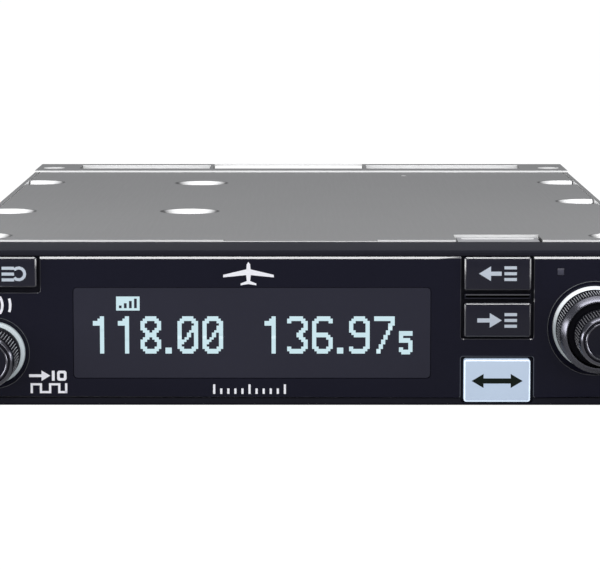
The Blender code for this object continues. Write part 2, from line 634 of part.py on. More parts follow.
def make_rear():
    fins = 14
    left, right, low, high = -72.5, -8.0, 4.0, 29.6
    sink = block("rear_heatsink", (left, REAR, low), (right, REAR + 13.7, high), CAST_METAL, RADIO)
    pitch = (right - left) / (fins - 0.45)
    for k in range(fins - 1):
        start = left + pitch * (k + 0.55)
        cut(sink, cutting_block((start, REAR + 3.5, 0), (start + pitch * 0.45, REAR + 20, 40), RADIO))

    low, high = (DATA_X - 26.5, REAR, SOCKET_Z - 6.2), (DATA_X + 26.5, REAR + 0.9, SOCKET_Z + 6.2)
    shell = block("data_connector_shell", low, high, TIN_PLATE, RADIO, 1.0)
    join(shell, d_shape("d_tool", 19.5, 4.3, REAR + 0.4, REAR + 6.6, None, RADIO))
    cut(
        shell,
        d_shape("d_bore", 19.0, 3.8, REAR - 1, REAR + 10, None, RADIO),
        *[cutting_rod(1.6, (DATA_X + s * 23.5, REAR - 2, SOCKET_Z), 8, "+Y", RADIO, 12) for s in (-1, 1)],
    )
    d_shape("data_connector_insert", 18.7, 3.5, 247.0, REAR + 5.6, BLACK_PLASTIC, RADIO)
    for sign, side_name in ((-1, "left"), (1, "right")):
        x = DATA_X + sign * 23.5
        post = rod(f"jack_post_{side_name}", 2.7, (x, REAR + 1.2, SOCKET_Z), 5.4, "+Y", STEEL, RADIO, 6)
        cut(post, cutting_rod(1.3, (x, REAR + 3, SOCKET_Z), 8, "+Y", RADIO, 12))

    end = OVERALL_DEPTH - REAR
    turned(
        "antenna_jack",
        [
            (4.1, end), (4.75, end), (4.75, 4.0), (6.9, 4.0), (6.9, 0.0), (AERIAL_THREAD, 0.0),
            (AERIAL_THREAD, -4.4), (2.6, -4.4), (2.6, end - 11.0), (4.1, end - 10.2),
        ],
        (AERIAL_X, REAR, SOCKET_Z), "+Y", NICKEL, RADIO, 32, closed=True,
    )
    turned(
        "antenna_insulator",
        [
            (0, end - 8.0), (1.1, end - 8.0), (1.1, end - 3.0), (2.3, end - 3.0), (2.3, -5.6), (1.0, -5.6),
            (1.0, -7.2), (0, -7.2),
        ],
        (AERIAL_X, REAR, SOCKET_Z), "+Y", WHITE_PLASTIC, RADIO, 24,
    )


# ---------------------------------------------------------------- lock
def make_lock():
    """The rod that a hex key turns from the front, with the paw that drops into the tray's floor."""
    home = new_home("lock_turn", RADIO, (LOCK_X, 0, LOCK_Z))
    lock = rod("lock_rod", ROD_RADIUS, (LOCK_X, 5.0, LOCK_Z), 67.5, "+Y", STEEL, home)
    paw_low, paw_high = (LOCK_X - PAW_LENGTH, PAW_FRONT, LOCK_Z - 1.5), (LOCK_X, PAW_BACK, LOCK_Z + 1.5)
    join(lock, block("paw_tool", paw_low, paw_high, None, home, 0.6))
    cut(lock, cutting_rod(1.1, (LOCK_X, 4, LOCK_Z), 4, "+Y", home, 6))


# ================================================================ tray
def make_tray_pan():
    side, high = TRAY_SIDE, TRAY_HIGH
    pan = block("tray_pan", (-side, TRAY_FRONT, 0), (side, TRAY_BACK, high), TRAY_METAL, TRAY)
    inner = side - SHEET
    cut(pan, cutting_block((-inner, 10, SHEET), (inner, 250, high + 5), TRAY))
    cut(pan, cutting_block((LOCK_X - 4.4, PAW_FRONT - 1.2, -2), (LOCK_X + 2.4, PAW_BACK + 1.2, 3), TRAY))
    for x in (-42.0, 0.0, 42.0):
        for y in (95.0, 165.0):
            cut(pan, cutting_rod(10.0, (x, y, -2), 5, "+Z", TRAY, 20))
    for y in (45.0, 105.0, 165.0, 220.0):
        for z in (9.0, 25.0):
            cut(pan, cutting_rod(2.2, (-90, y, z), 180, "+X", TRAY, 12))

def dish_lump_profile(top):
    """The underside of a pressed dish: its cone, one sheet thicker than the hollow's."""
    slope = (DISH_RADIUS - DISH_FLOOR_RADIUS) / DISH_DEPTH
    bottom = TRAY_HIGH - DISH_DEPTH - SHEET
    return [
        (0, top), (DISH_RADIUS + 0.75 + slope * (top - TRAY_HIGH), top),
        (DISH_FLOOR_RADIUS + 0.75, bottom), (0, bottom),
    ]


def dish_hollow_profile():
    """The hollow of a pressed dish: a rolled rim, a cone, a flat floor and a hole in its middle."""
    floor, rim = TRAY_HIGH - DISH_DEPTH, DISH_RADIUS + 0.6
    return [
        (0, TRAY_HIGH + 0.06), (rim, TRAY_HIGH + 0.06), (DISH_RADIUS, TRAY_HIGH - 0.12),
        (DISH_FLOOR_RADIUS, floor), (2.1, floor), (2.1, floor - 3), (0, floor - 3),
    ]


def make_tray_top():
    edge = TRAY_SIDE - SHEET - PLATE_GAP
    low, high = (-edge, TRAY_FRONT, TRAY_HIGH - SHEET), (edge, TRAY_BACK, TRAY_HIGH)
    plate = block("tray_top_plate", low, high, TRAY_METAL, TRAY)
    for x, y in DISHES:
        lump = turned("dish_lump", dish_lump_profile(TRAY_HIGH - 0.2), (x, y, 0), "+Z", None, TRAY, 40)
        if abs(x) > edge - DISH_RADIUS:
            xs = sorted((math.copysign(edge - 0.3, x), math.copysign(90, x)))
            cut(lump, cutting_block((xs[0], y - 15, 20), (xs[1], y + 15, 40), TRAY))
        join(plate, lump)
    for x, y in DISHES:
        cut(plate, turned("dish_hollow", dish_hollow_profile(), (x, y, 0), "+Z", None, TRAY, 40))
    cut(plate, cutting_rod(0.8, (29.1, 199.0, 20), 20, "+Z", TRAY, 12))
    cut(plate, cutting_block((34.7, 10, 20), (54.0, TRAY_FRONT + 11.8, 40), TRAY))
    for left, right in STRIP_WINDOWS:
        back = WINDOW_BACK if left != -25.6 else TRAY_BACK + 5
        cut(plate, cutting_block((left, WINDOW_FRONT, 20), (right, back, 40), TRAY))
    low, high = (-17.2, TRAY_FRONT - 6, TRAY_HIGH - 0.7), (17.2, TRAY_FRONT + 4, TRAY_HIGH + 2)
    ramp = block("ramp_tool", low, high, None, TRAY)
    for vert in ramp.data.vertices:
        if vert.co.z < 0 and vert.co.y > 0:
            vert.co.z += 0.75 * MM
    cut(plate, ramp)
    return plate


def make_tray_strip():
    low, high = (-TRAY_SIDE, STRIP_FRONT, TRAY_HIGH + CLOSE_GAP), (TRAY_SIDE, TRAY_BACK, STRIP_HIGH)
    strip = block("tray_rear_strip", low, high, TRAY_METAL, TRAY)
    for left, right in STRIP_WINDOWS:
        back = WINDOW_BACK if left != -25.6 else TRAY_BACK - 0.6
        cut(strip, cutting_block((left, WINDOW_FRONT, 20), (right, back, 40), TRAY))
    for x in (-72.0, 72.0):
        cut(strip, cutting_rod(3.3, (x, 221.0, 20), 20, "+Z", TRAY, 32))


def make_tray_fittings():
    for sign, side_name in ((-1, "left"), (1, "right")):
        xs = sorted((sign * 56.0, sign * 62.0))
        low, high = (xs[0], 24.0, SHEET + CLOSE_GAP), (xs[1], 230.0, CHASSIS_LOW - 0.2)
        block(f"guide_strip_{side_name}", low, high, WHITE_PLASTIC, TRAY)
    spring = block("earth_spring", (35.2, TRAY_FRONT, 33.3), (53.5, TRAY_FRONT + 10.6, 33.9), NICKEL, TRAY)
    low, high = (36.2, TRAY_FRONT + 6.6, 33.6), (52.5, TRAY_FRONT + 7.6, 34.2)
    join(spring, block("spring_bead", low, high, None, TRAY))


# ================================================================ build
clear_scene()
PARTS = new_collection("panel_radio")
CUTTERS = new_collection("cutters")
HOMES = {}  # the place of each empty, measured from the bezel's rim


def new_home(name, parent, place):
    """An empty on a joint's axis. The pieces that move there hang from it."""
    empty = new_empty(name, parent, *home_place(parent, place))
    HOMES[name] = place
    return empty


BLACK_PLASTIC = new_material("black_plastic", (0.012, 0.012, 0.018), 0.45)
GLOSS_BLACK = new_material("gloss_black", (0.010, 0.010, 0.016), 0.15)
ICE_PLASTIC = new_material("ice_plastic", (0.62, 0.74, 0.82), 0.35)
CLEAR = new_material("smoked_clear", (0.05, 0.05, 0.06), 0.1)
DISPLAY_GLASS = new_material("display_glass", (0.03, 0.03, 0.04), 0.1)
SILICONE = new_material("silicone", (0.25, 0.26, 0.28), 0.6)
BOARD_GREEN = new_material("board_green", (0.02, 0.12, 0.05), 0.4)
GREY_METAL = new_material("grey_metal", (0.5, 0.5, 0.52), 0.35, 1.0)
CAST_METAL = new_material("cast_metal", (0.45, 0.45, 0.46), 0.5, 1.0)
TRAY_METAL = new_material("tray_metal", (0.3, 0.3, 0.3), 0.4, 1.0)
TIN_PLATE = new_material("tin_plate", (0.65, 0.65, 0.66), 0.3, 1.0)
STEEL = new_material("steel", (0.4, 0.4, 0.42), 0.35, 1.0)
NICKEL = new_material("nickel", (0.75, 0.73, 0.70), 0.2, 1.0)
BRASS = new_material("brass", (0.7, 0.5, 0.2), 0.3, 1.0)
COPPER = new_material("copper", (0.6, 0.25, 0.1), 0.35, 1.0)
WHITE_PLASTIC = new_material("white_plastic", (0.8, 0.8, 0.78), 0.5)
CAPACITOR_SLEEVE = new_material("capacitor_sleeve", (0.02, 0.02, 0.05), 0.3)
CABLE_GREY = new_material("cable_grey", (0.35, 0.35, 0.36), 0.5)

# The object's own frame has its origin under the middle of the whole box, so the rim stands in front of it.
RIM_Y = (KNOB_REACH - OVERALL_DEPTH) / 2
TRAY = new_empty("tray", None, 0, RIM_Y, 0)
RADIO = new_empty("radio_slide", TRAY)

make_bezel()
make_bezel_screws()
make_faceplate()
make_display()
make_keys()
make_volume_control()
make_tuning_control()
make_control_board()
make_chassis()
make_top_cover()
make_main_board()
make_flat_cable()
make_rear()
make_lock()
make_tray_pan()
make_tray_top()
make_tray_strip()
make_tray_fittings()
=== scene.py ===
# %% [markdown]
# # A panel radio and its tray
# The object is an aviation band transceiver for an aircraft's panel, lying in the sheet metal tray that it
# slides into. Its mechanical model is already packed, in metres, so each cell dresses one part of that frame
# and takes every place from it. Sizes are written in millimetres, because that is how such a set is drawn.

import json
import math

import bmesh
import bpy
from mathutils import Matrix, Vector


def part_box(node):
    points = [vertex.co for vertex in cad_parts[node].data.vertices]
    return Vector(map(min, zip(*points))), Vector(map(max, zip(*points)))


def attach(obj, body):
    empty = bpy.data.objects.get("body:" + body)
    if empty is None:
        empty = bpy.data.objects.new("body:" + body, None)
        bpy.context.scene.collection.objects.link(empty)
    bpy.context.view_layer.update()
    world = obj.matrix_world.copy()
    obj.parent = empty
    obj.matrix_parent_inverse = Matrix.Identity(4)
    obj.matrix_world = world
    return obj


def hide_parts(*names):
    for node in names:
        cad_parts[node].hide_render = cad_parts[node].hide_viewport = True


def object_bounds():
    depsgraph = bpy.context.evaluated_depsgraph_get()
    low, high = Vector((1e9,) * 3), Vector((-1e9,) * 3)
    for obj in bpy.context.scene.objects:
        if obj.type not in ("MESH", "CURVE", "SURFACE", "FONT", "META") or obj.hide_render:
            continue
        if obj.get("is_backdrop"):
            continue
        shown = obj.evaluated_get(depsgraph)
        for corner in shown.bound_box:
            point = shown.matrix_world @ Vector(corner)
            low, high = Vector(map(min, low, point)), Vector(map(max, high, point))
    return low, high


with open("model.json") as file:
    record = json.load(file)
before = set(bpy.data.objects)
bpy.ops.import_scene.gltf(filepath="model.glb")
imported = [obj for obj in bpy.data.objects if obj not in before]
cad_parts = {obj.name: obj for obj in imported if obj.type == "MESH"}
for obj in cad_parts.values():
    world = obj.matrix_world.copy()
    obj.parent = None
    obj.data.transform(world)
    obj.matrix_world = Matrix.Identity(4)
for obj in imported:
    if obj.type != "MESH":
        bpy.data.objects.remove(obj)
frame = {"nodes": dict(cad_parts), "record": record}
cad_low, cad_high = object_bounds()
MM = 0.001


# %% [markdown]
# The frame gives each node's box. Everything on the front panel is placed from the faceplate, and each knob
# and key from its own node, so the looks follow the mechanics if a size changes.

# %% Take places from the frame
def box_mm(node):
    low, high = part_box(node)
    return low / MM, high / MM


def middle_mm(node):
    low, high = box_mm(node)
    return (low + high) / 2


face_low, face_high = box_mm("faceplate")
FACE = face_low.y  # the faceplate's front
BEZEL_DEEP = 18.0
RIM = box_mm("front_bezel")[1].y - BEZEL_DEEP  # the bezel's front rim
print(f"face {face_high.x - face_low.x:.1f} x {face_high.z - face_low.z:.1f} mm, at y {FACE:.1f} mm")


# %% [markdown]
# ## Shader sums in plain Python
# A finish is a network of nodes. Written out by hand, even `mask * 0.3 + 0.5` takes several lines of links,
# so a small class wraps a socket and turns Python's operators into Math nodes. Every other node comes from
# one method, which sets the node's own choices first and then its sockets.

# %% Wrap sockets and materials
class Wire:
    """One output of a shader node, which can be used in sums."""

    def __init__(self, finish, socket):
        self.finish, self.socket = finish, socket

    def maths(self, operation, *values):
        return self.finish.node("ShaderNodeMath", {"operation": operation}, *(values or [self]))

    def __add__(self, other):
        return self.maths("ADD", self, other)

    def __mul__(self, other):
        return self.maths("MULTIPLY", self, other)

    def __gt__(self, other):
        return self.maths("GREATER_THAN", self, other)

    __radd__, __rmul__ = __add__, __mul__


class Finish:
    """A material with one Principled shader. Plain values are set on its own sockets."""

    def __init__(self, name, colour, roughness, metallic=0.0, **plain):
        self.material = bpy.data.materials.new(name)
        self.material.use_nodes = True
        self.tree = self.material.node_tree
        self.shader = self.tree.nodes["Principled BSDF"]
        plain.update({"Base Color": (*colour, 1.0), "Roughness": roughness, "Metallic": metallic})
        for socket, value in plain.items():
            self.shader.inputs[socket.replace("_", " ")].default_value = value
        self.material.diffuse_color = (*colour, 1.0)

    def node(self, kind, settings, *values, output=0, **named):
        made = self.tree.nodes.new(kind)
        for name, value in settings.items():
            setattr(made, name, value)
        for key, value in [*enumerate(values), *named.items()]:
            socket = made.inputs[key if isinstance(key, int) else key.replace("_", " ")]
            if isinstance(value, Wire):
                self.tree.links.new(value.socket, socket)
            else:
                socket.default_value = value
        return Wire(self, made.outputs[output])

    def feed(self, socket, wire):
        self.tree.links.new(wire.socket, self.shader.inputs[socket])

    def place(self, stretch=(1.0, 1.0, 1.0)):
        """Object coordinates in millimetres, squeezed along each axis by stretch."""
        spot = self.node("ShaderNodeTexCoord", {}, output=3)
        scale = [value / MM for value in stretch]
        return self.node("ShaderNodeVectorMath", {"operation": "MULTIPLY"}, spot, scale)

    def noise(self, spot, scale, detail=3.0, roughness=0.55):
        return self.node(
            "ShaderNodeTexNoise", {}, Vector=spot, Scale=scale, Detail=detail, Roughness=roughness
        )

    def tint(self, factor, first, second):
        """A mix of two colours, for Base Color or Emission Color."""
        return self.blend(factor, (*first, 1.0), (*second, 1.0))

    def blend(self, factor, first, second):
        """The same for two colours that vary themselves. Sockets 6, 7 and 2 are a Mix node's colours."""
        mixed = self.node("ShaderNodeMix", {"data_type": "RGBA"}, factor, output=2)
        for socket, colour in ((6, first), (7, second)):
            if isinstance(colour, Wire):
                self.tree.links.new(colour.socket, mixed.socket.node.inputs[socket])
            else:
                mixed.socket.node.inputs[socket].default_value = colour
        return mixed

    def bump(self, height, depth, strength=1.0):
        """height, from 0 to 1, stands depth millimetres proud."""
        self.feed(
            "Normal",
            self.node("ShaderNodeBump", {}, Strength=strength, Distance=depth * MM, Height=height),
        )


def shade(colour, factor):
    return tuple(min(1.0, channel * factor) for channel in colour)


# %% [markdown]
# ## The stage
# The set is shown as a catalogue shows it: on white, almost level with the eye, from two thirds of a metre
# with a long lens, so that the tray's sides draw together only a little. The floor glows faintly, so that its
# shadows stay pale. A large soft box and a narrow bright one hang overhead. Small ones at the sides light the
# knobs' trim, and a weak one stands in front.

# %% Camera, lights and floor
CAMERA_BACK, CAMERA_UP, CAMERA_ASIDE = 635.5, 100.6, 0.77
CAMERA_DOWN, CAMERA_TURN = math.radians(6.658), 0.00132


def placed(name, data):
    """A new object in the scene. data is its mesh, lamp or camera."""
    obj = bpy.data.objects.new(name, data)
    bpy.context.scene.collection.objects.link(obj)
    return obj


def as_mesh(name, bm):
    mesh = bpy.data.meshes.new(name)
    bm.to_mesh(mesh)
    bm.free()
    return mesh


camera = placed("camera", bpy.data.cameras.new("camera"))
camera.data.sensor_width = 36.0
camera.data.lens = 176.8
camera.data.clip_start, camera.data.clip_end = 0.01, 20.0
camera.location = (CAMERA_ASIDE * MM, (RIM - CAMERA_BACK) * MM, CAMERA_UP * MM)
camera.rotation_euler = (math.pi / 2 - CAMERA_DOWN, 0.0, CAMERA_TURN)
bpy.context.scene.camera = camera
bpy.context.scene.view_settings.view_transform = "Standard"

world = bpy.data.worlds.new("studio")
bpy.context.scene.world = world
world.use_nodes = True
sky = world.node_tree
backdrop = sky.nodes["Background"]
backdrop.inputs["Color"].default_value = (1.0, 1.0, 1.0, 1.0)
room = sky.nodes.new("ShaderNodeBackground")
room.inputs["Color"].default_value = (0.93, 0.95, 1.0, 1.0)
room.inputs["Strength"].default_value = 0.34
seen = sky.nodes.new("ShaderNodeLightPath")
either = sky.nodes.new("ShaderNodeMixShader")
sky.links.new(seen.outputs["Is Camera Ray"], either.inputs[0])
sky.links.new(room.outputs[0], either.inputs[1])
sky.links.new(backdrop.outputs[0], either.inputs[2])
sky.links.new(either.outputs[0], sky.nodes["World Output"].inputs["Surface"])


def soft_box(name, place, target, width, height, radiance):
    """A rectangular lamp at place, in metres, facing target. Its power follows from its size."""
    lamp = bpy.data.lights.new(name, "AREA")
    lamp.shape, lamp.size, lamp.size_y = "RECTANGLE", width, height
    lamp.energy = radiance * math.pi * width * height
    holder = placed(name, lamp)
    holder.location = place
    holder.rotation_euler = (Vector(target) - Vector(place)).to_track_quat("-Z", "Y").to_euler()


soft_box("box_above", (0.0, 0.06, 0.95), (0.0, 0.02, 0.03), 1.2, 0.5, 1.5)
soft_box("box_edge", (0.0, -0.205, 0.85), (0.0, -0.125, 0.03), 1.0, 0.13, 10.0)
soft_box("box_left", (-0.22, -0.15, 0.055), (0.0, -0.13, 0.045), 0.13, 0.10, 8.0)
soft_box("box_right", (0.22, -0.15, 0.055), (0.0, -0.13, 0.045), 0.13, 0.10, 7.0)
soft_box("box_front", (0.0, -1.3, 0.50), (0.0, -0.1, 0.02), 1.5, 0.7, 2.6)

bm = bmesh.new()
bmesh.ops.create_grid(bm, x_segments=2, y_segments=2, size=40.0)
floor = placed("floor", as_mesh("floor", bm))
pale = Finish("pale_floor", (0.38, 0.38, 0.38), 0.9, Specular_IOR_Level=0.0)
tree = pale.tree
glow, shown, both = (
    tree.nodes.new(f"Shader{kind}") for kind in ("NodeEmission", "NodeMixShader", "NodeMixShader")
)
glow.inputs["Strength"].default_value = 1.1
shown.inputs[0].default_value = 0.92
tree.links.new(pale.shader.outputs[0], shown.inputs[1])
tree.links.new(glow.outputs[0], shown.inputs[2])
tree.links.new(pale.node("ShaderNodeLightPath", {}).socket, both.inputs[0])
tree.links.new(pale.shader.outputs[0], both.inputs[1])
tree.links.new(shown.outputs[0], both.inputs[2])
tree.links.new(both.outputs[0], tree.nodes["Material Output"].inputs["Surface"])
floor.data.materials.append(pale.material)
floor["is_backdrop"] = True
print("camera", tuple(round(value, 4) for value in camera.location))


# %% [markdown]
# ## Finishes
# Each finish is one material with its own fine detail: a spark-eroded grain on the mouldings, long rolling
# marks on the sheet metal, turning marks on the knobs' trim. Only sockets that a surface really varies are fed.

# %% Plastics
def moulded(name, colour, roughness, grain=0.25, depth=0.012, **plain):
    """Moulded plastic with a fine grain, whose cells are grain millimetres across."""
    finish = Finish(name, colour, roughness, **plain)
    spot = finish.place()
    fine = finish.noise(spot, 1.0 / grain, 2.0)
    slow = finish.noise(spot, 0.06, 2.0)
    finish.feed("Roughness", fine * 0.08 + (slow * 0.06 + (roughness - 0.07)))
    finish.feed("Base Color", finish.tint(slow, shade(colour, 0.85), shade(colour, 1.15)))
    finish.bump(fine, depth)
    return finish


satin_black = moulded("satin_black_moulding", (0.0085, 0.0085, 0.0150), 0.52, Specular_IOR_Level=0.1)
grip_black = moulded("grip_groove", (0.005, 0.005, 0.008), 0.45, 0.2, 0.002, Specular_IOR_Level=0.05)
# The crests' light grey is a painted highlight on the black grip.
crest_highlight = moulded("grip_crest_highlight", (0.60, 0.60, 0.64), 0.22, 0.2, 0.002, metallic=0.7)
rubber_grey = moulded("silicone_grey", (0.24, 0.25, 0.27), 0.62, 0.3, 0.01)
low_friction = moulded("low_friction_white", (0.78, 0.78, 0.75), 0.5, 0.4, 0.01)


def polished(name, colour, **plain):
    """Hard gloss plastic. Very shallow waves break up its reflections, as on real lacquered panels."""
    finish = Finish(name, colour, 0.14, **plain)
    spot = finish.place()
    wave = finish.noise(spot, 0.05, 2.0)
    finish.feed("Roughness", wave * 0.06 + 0.11)
    finish.feed("Base Color", finish.tint(wave, shade(colour, 0.92), shade(colour, 1.08)))
    finish.bump(wave, 0.01)
    return finish


face_black = polished("faceplate_gloss", (0.0085, 0.0085, 0.0170), Specular_IOR_Level=0.1)
cap_black = polished("cap_gloss", (0.0075, 0.0075, 0.014), Specular_IOR_Level=0.16)
# A lighter, glossier copy of the gloss black for chamfers and broken edges: a painted highlight along them.
edge_highlight_gloss = polished("edge_highlight_gloss", (0.055, 0.055, 0.064), Specular_IOR_Level=0.85)
key_black = polished("key_gloss", (0.0095, 0.0095, 0.0185), Specular_IOR_Level=0.3)
lens_smoke = polished("display_smoke", (0.0245, 0.0245, 0.0375), Specular_IOR_Level=0.12)
sensor_smoke = polished("sensor_smoke", (0.055, 0.055, 0.078), Specular_IOR_Level=0.2)
print("plastics made")

# %% [markdown]
# The lit parts are translucent white plastic in front of cool light emitting diodes. Their glow is uneven, a
# little brighter towards an edge, so noise drives the emission's colour. Plain emission would look printed.
# The rings' glow is also dimmed towards their bottom, which is painted shade for the knobs' shadow.

# %% Lit plastics and prints
def lit(name, colour, glow, strength, uneven=0.12, painted_shade_heights=None):
    """Given two heights, the glow rises between them from 0.12 of itself to full; below them it is painted
    shade, for the knob's shadow on the ring's lower part.
    """
    finish = Finish(name, colour, 0.35, Emission_Strength=strength)
    spot = finish.place()
    cloud = finish.noise(spot, 0.25, 2.0)
    emitted = finish.tint(cloud, shade(glow, 1 - uneven), glow)
    if painted_shade_heights:
        height = Wire(finish, finish.node("ShaderNodeSeparateXYZ", {}, spot).socket.node.outputs[2])
        out_of_painted_shade = finish.node("ShaderNodeMapRange", {"interpolation_type": "SMOOTHSTEP"}, height, *painted_shade_heights)
        # Painted shade: the glow drops to 0.12 of itself below the given heights.
        emitted = finish.blend(out_of_painted_shade, (*shade(glow, 0.12), 1.0), emitted)
    finish.feed("Emission Color", emitted)
    finish.feed("Roughness", cloud * 0.1 + 0.3)
    return finish


# The heights given to the rings' finishes dim their lower part: painted shade.
ring_white = lit("ring_light", (0.28, 0.33, 0.35), (0.95, 0.97, 1.0), 0.95, painted_shade_heights=(16.0, 25.5))
ring_ice = lit("ring_light_ice", (0.46, 0.51, 0.54), (0.62, 0.72, 0.76), 0.30, painted_shade_heights=(4.0, 14.0))
key_lit = lit("swap_key_light", (0.20, 0.23, 0.27), (0.50, 0.62, 0.80), 0.62, 0.08)
# The swap key's chamfer takes a brighter copy of its colour and glow: a painted highlight along its edge.
swap_edge_highlight = lit("swap_key_edge_highlight", (0.5, 0.55, 0.6), (0.66, 0.80, 0.96), 0.8, 0.08)
digit_glow = lit("digit_glow", (0.02, 0.03, 0.03), (0.60, 0.80, 0.87), 0.95, 0.06)
# The legends are print on the surface, but they glow a little too: painted light that lifts the print.
print_white = lit("legend_white", (0.62, 0.62, 0.66), (0.8, 0.8, 0.85), 0.25, 0.05)
print_grey = lit("legend_blue_grey", (0.38, 0.42, 0.48), (0.55, 0.62, 0.72), 0.18, 0.05)
print_dark = moulded("arrow_dark", (0.005, 0.009, 0.006), 0.6, Specular_IOR_Level=0.1)


# %% [markdown]
# The tray is sheet with a grey conversion coating, matt and even on the level faces. The faces that are not
# level
# are coloured by their direction: towards the front a painted highlight, for the front lamp's reflection on the
# pressed and cut metal, and turned aside a painted shade.

# %% Metals
def sheet_metal(name, flat, pressed, turned_aside_shade, level_at=0.985, metallic=0.0, inner=False, **plain):
    """Coated sheet. Level faces are flat. The mesh's own normal colours the rest: faces towards the front get
    the pressed colour, a painted highlight, and faces turned aside a painted shade. inner paints inward walls
    bright too."""
    finish = Finish(name, flat, 0.5, metallic, **plain)
    rolling = finish.noise(finish.place((1.0, 0.03, 1.0)), 1.4, 4.0)
    cloud = finish.noise(finish.place(), 0.02, 3.0)
    normal = finish.node("ShaderNodeTexCoord", {}, output=1)
    parts = finish.node("ShaderNodeSeparateXYZ", {}, normal, output=1)
    forward = parts * -1.0
    upward = Wire(finish, parts.socket.node.outputs[2]).maths("ABSOLUTE")
    slope = finish.node(
        "ShaderNodeMapRange", {"interpolation_type": "SMOOTHSTEP", "clamp": True}, forward, 0.12, 0.55
    )
    if inner:
        across = finish.node("ShaderNodeSeparateXYZ", {}, finish.place())
        # Walls that face inwards get the painted highlight as well.
        inner_wall_highlight = Wire(finish, parts.socket.node.outputs[0]) * across * -1.0 > 20.0
        slope = slope.maths("MAXIMUM", slope, inner_wall_highlight)
    tone = rolling * 0.25 + cloud * 0.5
    coated = finish.tint(tone, shade(flat, 0.93), shade(flat, 1.08))
    # Painted highlight on faces towards the front, painted shade on faces turned aside.
    cut = finish.tint(slope, turned_aside_shade, pressed)
    finish.feed("Base Color", finish.blend(upward > level_at, cut, coated))
    finish.feed("Roughness", rolling * 0.1 + (upward > level_at) * 0.18 + 0.3)
    finish.bump(rolling, 0.002)
    return finish


# In each call the second colour is the painted highlight of faces towards the front, the third the painted
# shade of faces turned aside.
tray_grey = sheet_metal(
    "tray_coating", (0.205, 0.205, 0.206), (0.85, 0.85, 0.85), (0.06, 0.06, 0.06), Specular_IOR_Level=0.1
)
tray_walls = sheet_metal(
    "tray_wall_coating", (0.20, 0.20, 0.20), (0.95, 0.95, 0.95), (0.16, 0.16, 0.16), inner=True,
    Specular_IOR_Level=0.1,
)
cover_bright = sheet_metal(
    "cover_bright", (0.66, 0.66, 0.65), (0.62, 0.62, 0.62), (0.42, 0.42, 0.42), metallic=0.15,
    Specular_IOR_Level=0.2,
)
spring_grey = sheet_metal(
    "spring_temper", (0.30, 0.30, 0.31), (0.85, 0.85, 0.85), (0.55, 0.55, 0.56), metallic=0.2
)


def bare_metal(name, colour, roughness, stretch=(1.0, 1.0, 1.0), scale=1.2, depth=0.003):
    finish = Finish(name, colour, roughness, 1.0)
    spot = finish.place(stretch)
    marks = finish.noise(spot, scale, 4.0)
    finish.feed("Roughness", marks * 0.16 + (roughness - 0.08))
    finish.feed("Base Color", finish.tint(marks, shade(colour, 0.88), shade(colour, 1.08)))
    finish.bump(marks, depth)
    return finish


cast_alloy = bare_metal("cast_alloy", (0.50, 0.50, 0.51), 0.52, scale=0.9, depth=0.03)
tinned = bare_metal("tinned_steel", (0.68, 0.68, 0.69), 0.30)
turned_steel = bare_metal("turned_steel", (0.55, 0.55, 0.57), 0.30, (1.0, 0.05, 1.0))
nickel = bare_metal("nickel_plate", (0.74, 0.71, 0.66), 0.18)
brass = bare_metal("turned_brass", (0.72, 0.52, 0.22), 0.28)
copper = bare_metal("enamelled_copper", (0.58, 0.22, 0.09), 0.32)
trim_metal = bare_metal("knob_trim", (0.115, 0.115, 0.135), 0.20, scale=3.0, depth=0.0015)
trim_satin = bare_metal("knob_trim_satin", (0.12, 0.12, 0.14), 0.26, scale=3.0, depth=0.0015)
trim_bright = bare_metal("knob_bead", (0.13, 0.13, 0.15), 0.24, scale=3.0, depth=0.0015)
black_steel = bare_metal("blackened_steel", (0.07, 0.07, 0.075), 0.35)
print("metals made")


# %% [markdown]
# Circuit boards are glass fibre under a green solder mask, with copper tracks that show as a slightly raised,
# lighter pattern. A brick texture gives straight tracks at a fraction of the work of drawing them.

# %% Boards and other inner finishes
def board(name):
    finish = Finish(name, (0.02, 0.11, 0.05), 0.35, Specular_IOR_Level=0.5)
    spot = finish.place()
    tracks = finish.node(
        "ShaderNodeTexBrick", {"offset": 0.37}, spot, Scale=0.35, Mortar_Size=0.03, output=1
    )
    finish.feed("Base Color", finish.tint(tracks, (0.016, 0.10, 0.045), (0.05, 0.20, 0.08)))
    finish.bump(tracks, 0.03)
    return finish


board_green = board("solder_mask")
can_sleeve = polished("capacitor_sleeve_finish", (0.02, 0.02, 0.06))
cable_grey = moulded("flat_cable_grey", (0.33, 0.33, 0.34), 0.5)
FINISH_OF_SLOT = {
    "black_plastic": satin_black, "gloss_black": key_black, "ice_plastic": ring_ice,
    "smoked_clear": lens_smoke, "display_glass": lens_smoke, "silicone": rubber_grey,
    "board_green": board_green, "grey_metal": turned_steel, "cast_metal": cast_alloy,
    "tray_metal": tray_grey, "tin_plate": tinned, "steel": turned_steel, "nickel": nickel,
    "brass": brass, "copper": copper, "white_plastic": low_friction, "capacitor_sleeve": can_sleeve,
    "cable_grey": cable_grey,
}
FINISH_OF_NODE = {"top_cover": cover_bright, "earth_spring": spring_grey, "tray_pan": tray_walls}
SLOT_OF_NODE = {part["node"]: part["material_slot"] for part in frame["record"]["subparts"]}
for node, obj in frame["nodes"].items():
    finish = FINISH_OF_NODE.get(node, FINISH_OF_SLOT[SLOT_OF_NODE[node]])
    obj.data.materials.clear()
    obj.data.materials.append(finish.material)
print(len(frame["nodes"]), "frame nodes have their finish")


# %% [markdown]
# ## Helpers for new pieces
# A piece starts in a bmesh, in millimetres, and one function ends it: it merges doubles, points the faces
# outwards, scales to metres, hangs it on the body that carries it, and hides the frame nodes that it stands
# for.

